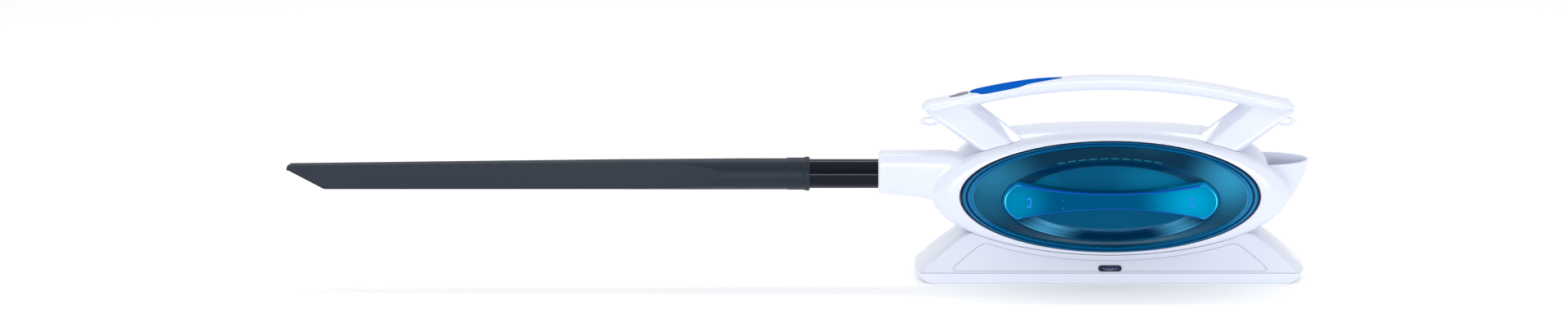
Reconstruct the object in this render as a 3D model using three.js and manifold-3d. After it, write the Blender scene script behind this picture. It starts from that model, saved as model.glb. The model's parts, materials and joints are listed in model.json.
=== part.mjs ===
// A handheld vacuum cleaner with a long crevice tool, standing in its dock.
// Millimetres, +Z up, the see-through dust cover facing -Y and the suction tube pointing along -X.
// The origin is the middle of the dock's underside.
import * as THREE from "three";
import { mergeVertices } from "three/addons/utils/BufferGeometryUtils.js";
import Module from "manifold-3d";

// ---- driving dimensions -------------------------------------------------------------------------
const GAP = 0.3; // left between two pieces that touch
const WALL = 3; // moulded casing wall
const OVAL = 2.66; // long axis of every oval piece over its short axis

const BODY_AXIS_Z = 104.3; // height of the motor and cover axis
const BODY_SPLIT_Y = -6; // where the front and rear casings meet
const BULKHEAD = { front: -12, back: -9, hole: 20 };

const COVER_RADIUS = 66.6; // short half-axis of the dust cover
const COVER_SEAT_Y = -46; // the ledge that the cover's gasket closes on
const COVER_WALL = 2.5;
const GRIP = { halfLength: 128, shoulder: 111, halfEnd: 23, halfWaist: 9.3, front: -97, back: -77 };

const TUBE_Y = -30;
const TUBE_Z = 125.6;
const TUBE_RADIUS = 17.5;
const TUBE_WALL = 1.5;
const TUBE_END = -405; // the end that the crevice tool slides on
const TUBE_ROOT = -236; // the end inside the inlet neck
const NECK_MOUTH = -275;

const TOOL_TIP = -977.5;
const TOOL_MOUTH = -356; // the rolled rim that the tube enters
const TOOL_SOCKET = 56;
const COLLAR_LENGTH = 28;

const HANDLE_Y = -16; // parting plane of the handle's two halves
const BAR_TOP = 241; // crown of the grip bar
const BAR_DROP = 33.5; // fall of the bar from its crown to its ends
const BAR_HALF_SPAN = 217;
const BAR_HEIGHT = 16.5;
const BAR_HALF_DEPTH = 16;
const SWITCH_X = -175.5;
const SWITCH_TRAVEL = 6;

const DOCK_HEIGHT = 57;
const DOCK_SEAM = 12.6;
const DOCK_HALF_WIDTH = 223;
const DOCK_BULGE = 8; // how far the ends swell at mid-depth
const DOCK_FRONT = -68;
const DOCK_REAR = 62;
const SADDLE_GAP = 0.8;

const MOTOR_RADIUS = 27;
const SHAFT_RADIUS = 3;
const CELL = { radius: 9.2, length: 65 };

const RING_POINTS = 28; // round the body and the cover
const ROUND_POINTS = 20; // round the motor and other small turned pieces

// ---- finishes -----------------------------------------------------------------------------------
const finish = (color, roughness, metalness = 0, opacity = 1) => () =>
  new THREE.MeshStandardMaterial({ color, roughness, metalness, opacity, transparent: opacity < 1 });
const whiteCasing = finish("#eef0f8", 0.22);
const greyCasing = finish("#8d9299", 0.45);
const blueInlay = finish("#1068c0", 0.18);
const tealCover = finish("#0078a0", 0.08, 0, 0.6);
const slateNozzle = finish("#343b49", 0.55);
const blackTube = finish("#181a28", 0.15);
const darkLens = finish("#1b2438", 0.2);
const rubber = finish("#26282c", 0.8);
const filterPaper = finish("#e7e4d8", 0.95);
const darkPlastic = finish("#3a3d42", 0.6);
const steel = finish("#b9bcc0", 0.3, 1);
const copper = finish("#b8733a", 0.4, 1);
const boardGreen = finish("#1f5a3a", 0.6);
const cellWrap = finish("#3d78c8", 0.4);

// ---- solids -------------------------------------------------------------------------------------
const wasm = await Module();
wasm.setup();

const at = (x, y, z) => new THREE.Vector3(x, y, z);

// A three.js geometry as a solid, whichever way round its faces were listed.
function solid(geometry) {
  const bare = new THREE.BufferGeometry().setAttribute("position", geometry.getAttribute("position"));
  bare.setIndex(geometry.index);
  const merged = mergeVertices(bare, 1e-3);
  const corners = merged.index.array;
  const faces = [];
  for (let i = 0; i < corners.length; i += 3) {
    const [a, b, c] = corners.slice(i, i + 3);
    if (a !== b && b !== c && c !== a) faces.push(a, b, c);
  }
  const build = (triVerts) =>
    new wasm.Manifold(
      new wasm.Mesh({
        numProp: 3,
        vertProperties: new Float32Array(merged.attributes.position.array),
        triVerts: new Uint32Array(triVerts),
      }),
    );
  const made = build(faces);
  return made.volume() > 0 ? made : build(faces.reverse());
}

const join = (first, ...others) => others.reduce((sum, each) => sum.add(each), first);
const cut = (first, ...others) => others.reduce((rest, each) => rest.subtract(each), first);

// A ring of points round a superellipse: power 2 is an ellipse, and higher powers square it up.
function ring(centre, across, up, power = 2, count = RING_POINTS) {
  return Array.from({ length: count }, (_, i) => {
    const angle = (2 * Math.PI * i) / count;
    const round = (value) => Math.sign(value) * Math.abs(value) ** (2 / power);
    return centre
      .clone()
      .addScaledVector(across, round(Math.cos(angle)))
      .addScaledVector(up, round(Math.sin(angle)));
  });
}

// A closed solid through a row of rings, with a flat cap on each end ring.
function loft(rings) {
  const count = rings[0].length;
  const middle = (points) =>
    points.reduce((sum, p) => sum.add(p), new THREE.Vector3()).divideScalar(points.length);
  const last = rings.length - 1;
  const corners = [...rings.flat(), middle(rings[0]), middle(rings[last])];
  const faces = [];
  for (let row = 0; row <= last; row++)
    for (let i = 0; i < count; i++) {
      const here = row * count + i;
      const next = row * count + ((i + 1) % count);
      if (row < last) faces.push(here, next, next + count, here, next + count, here + count);
      if (row === 0) faces.push(next, here, rings.length * count);
      if (row === last) faces.push(here, next, rings.length * count + 1);
    }
  const geometry = new THREE.BufferGeometry().setFromPoints(corners);
  return solid(geometry.setIndex(faces));
}

// A turned piece about the body's axis: the profile lists [radius, y], and stretch makes it oval.
function turned(profile, { stretch = 1, segments = stretch > 1 ? RING_POINTS : ROUND_POINTS } = {}) {
  const points = profile.map(([radius, y]) => new THREE.Vector2(radius, y));
  const geometry = new THREE.LatheGeometry([...points, points[0]], segments);
  return solid(geometry.scale(stretch, 1, 1).translate(0, 0, BODY_AXIS_Z));
}
const disc = (radius, y0, y1, options) =>
  turned([[0, y0], [radius, y0], [radius, y1], [0, y1]], options);
const collar = (inner, outer, y0, y1, options) =>
  turned([[inner, y0], [outer, y0], [outer, y1], [inner, y1]], options);

function rod(radius, from, to, segments = 16) {
  const along = to.clone().sub(from);
  const geometry = new THREE.CylinderGeometry(radius, radius, along.length(), segments);
  const turn = new THREE.Quaternion().setFromUnitVectors(at(0, 1, 0), along.clone().normalize());
  geometry.applyQuaternion(turn);
  geometry.translate(...from.clone().add(to).divideScalar(2).toArray());
  return solid(geometry);
}

// A box between two opposite corners.
function block(x0, x1, y0, y1, z0, z1) {
  const geometry = new THREE.BoxGeometry(x1 - x0, y1 - y0, z1 - z0);
  return solid(geometry.translate((x0 + x1) / 2, (y0 + y1) / 2, (z0 + z1) / 2));
}

// An outline in the XZ plane, extruded along Y from y0 to y1.
function plate(shape, y0, y1, curveSegments = 12) {
  const geometry = new THREE.ExtrudeGeometry(shape, { depth: y1 - y0, bevelEnabled: false, curveSegments });
  return solid(geometry.rotateX(Math.PI / 2).translate(0, y1, 0));
}

const root = new THREE.Group();

function add(name, body, material) {
  const { numProp, vertProperties, triVerts } = body.getMesh();
  const positions = [];
  for (let i = 0; i < vertProperties.length; i += numProp)
    positions.push(vertProperties[i], vertProperties[i + 1], vertProperties[i + 2]);
  const geometry = new THREE.BufferGeometry();
  geometry.setAttribute("position", new THREE.Float32BufferAttribute(positions, 3));
  geometry.setIndex([...triVerts]);
  geometry.computeVertexNormals();
  const mesh = new THREE.Mesh(geometry, material());
  mesh.name = name;
  root.add(mesh);
}

// ---- the body's outer form ----------------------------------------------------------------------
// Stations from the cover's rim to the back: depth, half-width, half-height and squareness.
const FRONT_STATIONS = [
  [-64, 183, 69, 2],
  [-60, 201, 71.2, 2],
  [-50, 212, 72.2, 2],
  [-42, 212, 72.4, 2],
  [-25, 197, 73, 2.4],
  [BODY_SPLIT_Y, 193.5, 73.8, 2.9],
];
const REAR_STATIONS = [
  [BODY_SPLIT_Y, 193.5, 73.8, 2.9],
  [10, 193, 74, 3],
  [30, 189, 73.2, 3],
  [46, 177, 69.5, 2.8],
  [59, 154, 60, 2.5],
  [68, 112, 42, 2.2],
];

// The solid through the stations between two depths, grown or shrunk all round by an offset.
function bodyForm(stations, offset = 0, from = -Infinity, to = Infinity) {
  const rings = stations
    .filter(([y]) => y > from && y < to)
    .map(([y, wide, high, power]) =>
      ring(at(0, y, BODY_AXIS_Z), at(wide + offset, 0, 0), at(0, 0, high + offset), power),
    );
  const blend = (y) => {
    const after = stations.findIndex((station) => station[0] >= y);
    const [y1, ...next] = stations[after];
    const [y0, ...previous] = stations[Math.max(after - 1, 0)];
    const share = y1 === y0 ? 0 : (y - y0) / (y1 - y0);
    const [wide, high, power] = next.map((value, i) => previous[i] + share * (value - previous[i]));
    return ring(at(0, y, BODY_AXIS_Z), at(wide + offset, 0, 0), at(0, 0, high + offset), power);
  };
  if (from > -Infinity) rings.unshift(blend(from));
  if (to < Infinity) rings.push(blend(to));
  return loft(rings);
}
const ALL_STATIONS = [...FRONT_STATIONS, ...REAR_STATIONS.slice(1)];
const envelope = (offset) => bodyForm(ALL_STATIONS, offset);

// ---- front casing with its inlet neck ------------------------------------------------------------
const SCREW_PLACES = [
  [-128, BODY_AXIS_Z - 42],
  [128, BODY_AXIS_Z - 42],
  [-128, BODY_AXIS_Z + 42],
  [128, BODY_AXIS_Z + 42],
];
const alongY = (radius, x, z, y0, y1, segments = 10) => rod(radius, at(x, y0, z), at(x, y1, z), segments);
function alongX(radius, x0, x1, y, z, segments = ROUND_POINTS) {
  return rod(radius, at(x0, y, z), at(x1, y, z), segments);
}

function frontCasing() {
  const neck = loft(
    [
      [NECK_MOUTH, 20.4, 105, 150.8],
      [NECK_MOUTH + 2, 22.6, 103.6, 152.2],
      [-240, 23, 100.6, 152.6],
      [-213, 23.5, 96.5, 152.8],
      [-186, 22, 92, 150],
    ].map(([x, halfDepth, bottom, top]) => {
      const middle = at(x, TUBE_Y, (bottom + top) / 2);
      return ring(middle, at(0, halfDepth, 0), at(0, 0, (top - bottom) / 2), 5, 24);
    }),
  );
  const coverWell = disc(COVER_RADIUS + 0.4, -70, COVER_SEAT_Y, { stretch: OVAL });
  const ledgeHole = disc(61, COVER_SEAT_Y - 1, -42, { stretch: OVAL });
  const chamber = bodyForm(FRONT_STATIONS, -WALL, -43, BULKHEAD.front);
  const rimHollow = cut(
    bodyForm(FRONT_STATIONS, -WALL, -58, -42.5),
    disc(COVER_RADIUS + 3, -70, -42, { stretch: OVAL }),
  );
  const motorSide = bodyForm(FRONT_STATIONS, -WALL, BULKHEAD.back, BODY_SPLIT_Y);
  const airHole = disc(BULKHEAD.hole, BULKHEAD.front - 1, BULKHEAD.back + 1);
  const posts = SCREW_PLACES.map(([x, z]) => alongY(4.5, x, z, BULKHEAD.back - 1, BODY_SPLIT_Y - GAP / 2));
  const pilots = SCREW_PLACES.map(([x, z]) => alongY(1.7, x, z, BULKHEAD.front + 1, BODY_SPLIT_Y + 1));
  const socket = alongX(TUBE_RADIUS + 0.35, NECK_MOUTH - 1, TUBE_ROOT + 1, TUBE_Y, TUBE_Z);
  const throat = alongX(15.5, TUBE_ROOT, -140, TUBE_Y, TUBE_Z);
  const sealGroove = alongX(20.6, -266.3, -261.7, TUBE_Y, TUBE_Z);
  const partingTrim = block(-300, 300, BODY_SPLIT_Y - GAP / 2, 90, -50, 300);
  const shell = cut(bodyForm(FRONT_STATIONS), coverWell, ledgeHole, chamber, rimHollow, motorSide, airHole);
  const neckOutside = cut(neck, bodyForm(FRONT_STATIONS, -1));
  return cut(join(shell, neckOutside, ...posts), socket, throat, sealGroove, partingTrim, ...pilots);
}
add("front_casing", frontCasing(), whiteCasing);
add(
  "inlet_seal",
  cut(
    alongX(20.3, -266, -262, TUBE_Y, TUBE_Z),
    alongX(TUBE_RADIUS + 0.35, -267, -261, TUBE_Y, TUBE_Z),
  ),
  rubber,
);

// ---- rear casing --------------------------------------------------------------------------------
const EXHAUST_WINDOW = { y: [-2, 22], z: [72, 104] };

function rearCasing() {
  const inside = bodyForm(REAR_STATIONS, -WALL, BODY_SPLIT_Y, 64.5);
  const posts = SCREW_PLACES.map(([x, z]) => alongY(4.6, x, z, BODY_SPLIT_Y + GAP / 2, 58));
  const wells = SCREW_PLACES.map(([x, z]) => alongY(3.4, x, z, 8, 75));
  const shafts = SCREW_PLACES.map(([x, z]) => alongY(1.75, x, z, BODY_SPLIT_Y - 1, 10));
  const window = block(150, 200, ...EXHAUST_WINDOW.y, ...EXHAUST_WINDOW.z);
  const trim = block(-300, 300, -90, BODY_SPLIT_Y + GAP / 2, -50, 300);
  const form = bodyForm(REAR_STATIONS);
  const inner = posts.map((post) => post.intersect(form));
  return cut(join(cut(form, inside), ...inner), ...wells, ...shafts, window, trim);
}
add("rear_casing", rearCasing(), whiteCasing);

SCREW_PLACES.forEach(([x, z], i) => {
  const head = alongY(3, x, z, 8.3, 11);
  const shank = alongY(1.5, x, z, -10.6, 8.5);
  add(`casing_screw_${i + 1}`, join(head, shank), steel);
});

// ---- dust cover, its grip and gasket -------------------------------------------------------------
const COVER_OUTSIDE = [
  [COVER_RADIUS, -49.7],
  [COVER_RADIUS, -65],
  [64.4, -67],
  [61.7, -67.4],
  [56.5, -76],
  [51.5, -85.4],
  [48.5, -88],
  [46, -86.4],
  [42, -79],
  [39, -77.2],
  [0, -76.6],
];
const COVER_INSIDE = [
  [0, -76.6 + COVER_WALL],
  [38, -77 + COVER_WALL],
  [41, -77.8 + COVER_WALL],
  [44.8, -84],
  [48.2, -84.8],
  [54.4, -73],
  [59.6, -64.6],
  [COVER_RADIUS - COVER_WALL, -63.6],
  [COVER_RADIUS - COVER_WALL, -49.7],
];
add("dust_cover", turned([...COVER_OUTSIDE, ...COVER_INSIDE], { stretch: OVAL }), tealCover);
add(
  "cover_gasket",
  collar(62.6, COVER_RADIUS, -49.4, COVER_SEAT_Y - GAP, { stretch: OVAL }),
  rubber,
);

// The grip is a bow tie: two rounded ends and a narrow waist.
function coverGrip() {
  const { halfLength, shoulder, halfEnd, halfWaist, front, back } = GRIP;
  const shape = new THREE.Shape();
  const side = (way) => {
    shape.bezierCurveTo(way * -60, way * halfWaist, way * 60, way * halfWaist, way * shoulder, way * halfEnd);
    shape.quadraticCurveTo(way * (2 * halfLength - shoulder), 0, way * shoulder, way * -halfEnd);
  };
  shape.moveTo(-shoulder, halfEnd);
  side(1);
  side(-1);
  const outline = plate(shape, front, back, 10).translate([0, 0, BODY_AXIS_Z]);
  const seat = COVER_OUTSIDE.map(([radius, y]) => [radius, y - GAP - 0.1]);
  const seatSolid = turned([...seat, [0, -40], [COVER_RADIUS, -40]], { stretch: OVAL });
  return cut(outline, seatSolid);
}
add("cover_grip", coverGrip(), tealCover);

// ---- filter -------------------------------------------------------------------------------------
const CAGE = { radius: 42, wall: 2, front: -58, back: BULKHEAD.front - GAP };
const SLOTS = 10;
function filterCage() {
  const { radius, wall, front, back } = CAGE;
  const cup = turned(
    [[0, front], [radius, front], [radius, back], [radius - wall, back], [radius - wall, front + wall], [0, front + wall]],
    { stretch: OVAL },
  );
  const slots = [];
  for (let i = 0; i < SLOTS; i++) {
    const angle = (2 * Math.PI * (i + 0.5)) / SLOTS;
    const slot = new THREE.BoxGeometry(9, 26, 8);
    slot.rotateY(-Math.atan2(Math.sin(angle), Math.cos(angle) * OVAL));
    slot.translate(radius * OVAL * Math.cos(angle), (front + back) / 2 + 1, BODY_AXIS_Z + radius * Math.sin(angle));
    slots.push(solid(slot));
  }
  return cut(cup, ...slots);
}
add("filter_cage", filterCage(), darkPlastic);

function pleatedFilter() {
  const pleats = 20;
  const shape = new THREE.Shape();
  for (let i = 0; i < pleats * 2; i++) {
    const angle = (Math.PI * i) / pleats;
    const radius = i % 2 ? 33 : 38.6;
    const point = [radius * OVAL * Math.cos(angle), radius * Math.sin(angle)];
    if (i) shape.lineTo(...point);
    else shape.moveTo(...point);
  }
  const hole = new THREE.Path();
  hole.absellipse(0, 0, 22 * OVAL, 22, 0, 2 * Math.PI);
  shape.holes.push(hole);
  return plate(shape, CAGE.front + 3, CAGE.back - 1).translate([0, 0, BODY_AXIS_Z]);
}
add("pleated_filter", pleatedFilter(), filterPaper);

// ---- fan and motor ------------------------------------------------------------------------------
const FAN = { radius: 40, front: -4.5, back: 6 };
add(
  "fan_inlet_cover",
  turned([[18, -8.6], [46, -8.6], [46, 9.7], [44, 9.7], [44, -6.6], [18, -6.6]]),
  darkPlastic,
);
add("fan_rear_plate", collar(9, 46, 10, 12.5), darkPlastic);

function impeller() {
  const backDisc = disc(FAN.radius, FAN.back - 1.5, FAN.back);
  const hub = turned([[SHAFT_RADIUS + 0.02, -4], [7, -4], [9, FAN.back - 1], [SHAFT_RADIUS + 0.02, FAN.back - 1]]);
  const blades = [];
  for (let i = 0; i < 9; i++) {
    const blade = new THREE.BoxGeometry(33, FAN.back - FAN.front - 1, 1.6);
    blade.translate(22.5, (FAN.front + FAN.back - 1) / 2, 0);
    blade.rotateY((2 * Math.PI * i) / 9);
    blade.translate(0, 0, BODY_AXIS_Z);
    blades.push(solid(blade));
  }
  return cut(join(backDisc, hub, ...blades), disc(SHAFT_RADIUS + 0.02, -10, 12));
}
add("impeller", impeller(), steel);
add("motor_can", turned([
  [8, 12.8], [MOTOR_RADIUS, 12.8], [MOTOR_RADIUS, 56], [MOTOR_RADIUS - 1.5, 56], [MOTOR_RADIUS - 1.5, 14.3], [8, 14.3],
]), steel);
add("motor_end_bell", turned([
  [7, 59], [MOTOR_RADIUS - 4, 59], [MOTOR_RADIUS, 56.3], [MOTOR_RADIUS - 1.5, 56.3], [MOTOR_RADIUS - 4, 57.4], [7, 57.4],
]), darkPlastic);
add("motor_rotor", join(
  disc(SHAFT_RADIUS, FAN.front, 61),
  disc(17, 24, 46),
  disc(9, 48, 54),
), copper);
add("bearing_front", collar(SHAFT_RADIUS + 0.08, 6.5, 12.9, 17.5), steel);
add("bearing_rear", collar(SHAFT_RADIUS + 0.08, 6.5, 55.5, 60), steel);
add("motor_mount_ring", collar(MOTOR_RADIUS + GAP, MOTOR_RADIUS + 6, 38, 46), rubber);

// ---- battery and control board -------------------------------------------------------------------
const CELL_ROWS = [-21, 0, 21];
const CELL_LAYERS = [10, 31];
CELL_LAYERS.forEach((y, layer) =>
  CELL_ROWS.forEach((dz, row) => {
    const from = at(-150, y, BODY_AXIS_Z + dz);
    const cell = rod(CELL.radius, from, at(-150 + CELL.length, y, BODY_AXIS_Z + dz), 14);
    add(`battery_cell_${layer * CELL_ROWS.length + row + 1}`, cell, cellWrap);
  }),
);
function batteryTray() {
  const plateAt = (x) => block(x, x + 3, -1, 42, BODY_AXIS_Z - 33, BODY_AXIS_Z + 33);
  const spine = block(-156, -78, 42, 44, BODY_AXIS_Z - 12, BODY_AXIS_Z + 12);
  return join(plateAt(-154), plateAt(-83), spine);
}
add("battery_tray", batteryTray(), darkPlastic);
add("control_board", block(-72, -70.4, 0, 44, BODY_AXIS_Z - 26, BODY_AXIS_Z + 26), boardGreen);

// ---- exhaust spout ------------------------------------------------------------------------------
// A scoop on the right-hand side whose mouth faces up.
const SPOUT_X = 168;
const SPOUT_Y = 5;
const SPOUT_STATIONS = [
  [59, 9, 8],
  [66, 25, 15],
  [79, 40.5, 21.5],
  [98, 55, 26.5],
  [120, 66, 29.4],
  [136, 70, 30],
];
function spoutForm(offset, from = -Infinity, to = Infinity) {
  return loft(
    SPOUT_STATIONS.filter(([z]) => z >= from && z <= to).map(([z, reach, halfDepth]) =>
      ring(at(SPOUT_X, SPOUT_Y, z), at(reach + offset, 0, 0), at(0, halfDepth + offset, 0), 2.1, 28),
    ),
  );
}
function exhaustSpout() {
  const lifted = spoutForm(-2.5, 65).translate([0, 0, 2.5]);
  return cut(spoutForm(0), lifted, envelope(GAP));
}
add("exhaust_spout", exhaustSpout(), whiteCasing);

function exhaustGrille() {
  const level = spoutForm(-2.5 - GAP, 90, 125).translate([0, 0, 2.5]);
  const sheet = cut(level.intersect(block(192, 260, -40, 50, 111, 113.5)), envelope(2 * GAP));
  const slots = [200, 205, 210, 215].map((x) =>
    block(x, x + 2.4, SPOUT_Y - 11, SPOUT_Y + 11, 105, 120),
  );
  return cut(sheet, ...slots);
}
add("exhaust_grille", exhaustGrille(), greyCasing);

// ---- handle -------------------------------------------------------------------------------------
const barTop = (x) => BAR_TOP - BAR_DROP * (x / BAR_HALF_SPAN) ** 2;

// Heights of the bar's top and underside: arched, then straight to a blunt, chamfered end.
const BAR_END = 224;
const BAR_SHORTER_RIGHT = 4.5;
function barEdges(x) {
  const shorter = x > 0 ? BAR_SHORTER_RIGHT : 0;
  const past = Math.abs(x) + shorter;
  const straight = past > 181 ? barTop(181 - shorter) - 0.2 * (past - 181) : barTop(x);
  const chamfer = past > 217 ? 6.6 * ((past - 217) / (BAR_END - 217)) ** 1.6 : 0;
  const rise = past > 196 ? (4.6 * (past - 196)) / (BAR_END - 196) : 0;
  const low = barTop(Math.min(past, 196) - shorter) - BAR_HEIGHT + rise;
  return [straight - chamfer, low];
}
function bar(inset) {
  const places = [0, 54, 105, 150, 181, 196, 208, 217, 221, BAR_END];
  const kept = places.filter((x) => x <= BAR_END - 3 * inset);
  const leftward = kept.slice(1).reverse().map((x) => -x);
  const rightward = kept.map((x) => (x > 0 ? x - BAR_SHORTER_RIGHT : 0));
  const rings = [...leftward, ...rightward].map((x) => {
    const [top, low] = barEdges(x);
    const past = Math.abs(x) + (x > 0 ? BAR_SHORTER_RIGHT : 0);
    const taper = Math.max(0, (past - 206) / 18) ** 2;
    const halfDepth = BAR_HALF_DEPTH * (1 - 0.3 * taper) - inset;
    const middle = at(x, HANDLE_Y, (top + low) / 2);
    return ring(middle, at(0, halfDepth, 0), at(0, 0, (top - low) / 2 - inset), 4, 16);
  });
  return loft(rings);
}

// A splayed leg: each station is its outer edge, its inner edge and its half-depth.
const LEG_STATIONS = [
  [[-219, 200.5], [-166, 216], 15],
  [[-213, 194], [-157, 209], 19],
  [[-153, 153], [-105, 169], 30],
  [[-135, 139], [-88, 156], 31],
];
function leg(side, inset) {
  const rings = LEG_STATIONS.map(([outer, inner, halfDepth]) => {
    const middle = at((-side * (outer[0] + inner[0])) / 2, HANDLE_Y, (outer[1] + inner[1]) / 2);
    const across = at((-side * (inner[0] - outer[0])) / 2, 0, (inner[1] - outer[1]) / 2);
    const length = across.length();
    across.multiplyScalar((length - inset) / length);
    return ring(middle, across, at(0, halfDepth - inset, 0), 4, 16);
  });
  return loft(rings);
}

const slope = -Math.atan((2 * BAR_DROP * SWITCH_X) / BAR_HALF_SPAN ** 2);
// A box that lies along the bar's top at the switch: start and end along the bar, half-width, and
// heights over the bar's surface.
function alongBar(start, end, halfWidth, low, high) {
  const geometry = new THREE.BoxGeometry(end - start, 2 * halfWidth, high - low);
  geometry.translate((start + end) / 2, 0, (low + high) / 2);
  geometry.rotateY(-slope);
  return solid(geometry.translate(SWITCH_X, HANDLE_Y, barTop(SWITCH_X)));
}

// The inlay's outline in plan is a leaf: full near the switch, pointed towards the middle.
function inlay(grow, low, high) {
  const stations = [
    [-158.5, 8.5],
    [-150, 11.4],
    [-130, 11.8],
    [-105, 10.6],
    [-80, 7.2],
    [-60, 2.4],
  ];
  const rings = stations.map(([x, halfWidth], i) => {
    const push = i === 0 ? -grow : i === stations.length - 1 ? grow : 0;
    const middle = at(x + push, HANDLE_Y, barTop(x) + (low + high) / 2);
    return ring(middle, at(0, halfWidth + grow, 0), at(0, 0, (high - low) / 2), 8, 16);
  });
  return loft(rings);
}

function handleBody() {
  const outside = join(bar(0), leg(-1, 0), leg(1, 0));
  const inside = join(bar(2.6), leg(-1, 2.6), leg(1, 2.6));
  const switchSlot = alongBar(-9 - SWITCH_TRAVEL, 8, 6.5, -6, 6);
  const inlayPocket = inlay(GAP, -1.8, 4);
  const shell = cut(outside, inside, switchSlot, envelope(GAP));
  return cut(join(shell, cut(inlay(1.5, -3.6, -1.8), switchSlot)), inlayPocket);
}
const handle = handleBody();
const frontHalf = block(-300, 300, -120, HANDLE_Y - GAP / 2, 100, 300);
const rearHalf = block(-300, 300, HANDLE_Y + GAP / 2, 120, 100, 300);
add("handle_front_shell", handle.intersect(frontHalf), whiteCasing);
add("handle_rear_shell", handle.intersect(rearHalf), whiteCasing);
add("handle_inlay", inlay(0, -1.5, 0.5), blueInlay);

function powerSlider() {
  const cap = alongBar(-8, 7, 6, -2, 2.4);
  const ribs = [-5, -2.5, 0, 2.5].map((place) => alongBar(place, place + 1, 5, 2, 3.2));
  const stem = alongBar(-2.5, 2.5, 3, -4.6, -1);
  return join(cap, stem, ...ribs);
}
add("power_slider", powerSlider(), greyCasing);
add("switch_block", alongBar(-13, 9, 5, -12, -7), darkPlastic);

function strapEye(side) {
  const x = side < 0 ? -213 : 209;
  const z = 186;
  const shape = new THREE.Shape();
  shape.absellipse(x, z, 12.6, 6.2, 0, 2 * Math.PI);
  const hole = new THREE.Path();
  hole.absellipse(x, z, 7, 3.3, 0, 2 * Math.PI);
  shape.holes.push(hole);
  const eye = plate(shape, HANDLE_Y - 2.4, HANDLE_Y + 2.4, 10);
  const legOutside = leg(side, -GAP);
  return cut(eye, legOutside);
}
add("strap_eye_left", strapEye(-1), whiteCasing);
add("strap_eye_right", strapEye(1), whiteCasing);

// ---- suction tube and crevice tool ---------------------------------------------------------------
add(
  "suction_tube",
  cut(
    alongX(TUBE_RADIUS, TUBE_END, TUBE_ROOT, TUBE_Y, TUBE_Z),
    alongX(TUBE_RADIUS - TUBE_WALL, TUBE_END - 1, TUBE_ROOT + 1, TUBE_Y, TUBE_Z),
  ),
  blackTube,
);

// Stations along the nozzle: place, height of its axis, half-height and half-depth. The section is
// a circle cut flat front and back, so the flats grow out of the round end as a scallop.
const NOZZLE_STATIONS = [
  [-384.4, 125.4, 18.6, 18.6],
  [-430, 125.4, 18.6, 18.6],
  [-462, 125.3, 18.55, 18.5],
  [-478, 125.2, 18.5, 14.6],
  [-500, 125.1, 18.4, 11.2],
  [-560, 124.9, 18.1, 9.4],
  [TOOL_TIP, 122.5, 15.6, 7.2],
];
function nozzleForm(inset, stations) {
  const rings = stations.map(([x, z, halfHeight, halfDepth]) => {
    const radius = halfHeight - inset;
    const flat = halfDepth - inset;
    return Array.from({ length: ROUND_POINTS }, (_, i) => {
      const angle = (2 * Math.PI * i) / ROUND_POINTS;
      const y = Math.min(Math.max(radius * Math.cos(angle), -flat), flat);
      return at(x, TUBE_Y + y, z + radius * Math.sin(angle));
    });
  });
  return loft(rings);
}
function creviceNozzle() {
  const socketEnd = TOOL_MOUTH - TOOL_SOCKET;
  const outside = nozzleForm(0, NOZZLE_STATIONS);
  const channelStations = [
    [socketEnd - 1, 125.4, 18.6, 18.6],
    ...NOZZLE_STATIONS.slice(1, -1),
    [-980, 122.5, 15.6, 7.2],
  ];
  const channel = nozzleForm(2, channelStations);
  const socket = alongX(TUBE_RADIUS + 0.25, socketEnd, -300, TUBE_Y, TUBE_Z);
  const slant = new THREE.Shape();
  slant.moveTo(-975, 129);
  slant.lineTo(-933, 106);
  slant.lineTo(-933, 90);
  slant.lineTo(-1000, 90);
  slant.lineTo(-1000, 129);
  const nose = new THREE.Shape();
  nose.moveTo(-972.5, 150);
  nose.lineTo(-972.5, 137.2);
  nose.lineTo(-977.6, 133.4);
  nose.lineTo(-1000, 133.4);
  nose.lineTo(-1000, 150);
  return cut(outside, channel, socket, plate(slant, -60, 0), plate(nose, -60, 0));
}
add("crevice_nozzle", creviceNozzle(), slateNozzle);

function nozzleCollar() {
  const back = TOOL_MOUTH - COLLAR_LENGTH;
  const sleeve = alongX(19.3, back, TOOL_MOUTH, TUBE_Y, TUBE_Z);
  const rim = alongX(20, TOOL_MOUTH - 6, TOOL_MOUTH, TUBE_Y, TUBE_Z);
  const bore = alongX(TUBE_RADIUS + 0.25, back - 1, TOOL_MOUTH + 1, TUBE_Y, TUBE_Z);
  return cut(join(sleeve, rim), bore);
}
add("nozzle_collar", nozzleCollar(), slateNozzle);

// ---- dock ---------------------------------------------------------------------------------------
// The dock's front and back lean inwards above the seam.
const lean = (z, amount) => (amount * Math.max(0, z - DOCK_SEAM)) / (DOCK_HEIGHT - DOCK_SEAM);
const dockFront = (z) => DOCK_FRONT + lean(z, 20);
const dockRear = (z) => DOCK_REAR - lean(z, 14);

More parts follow.
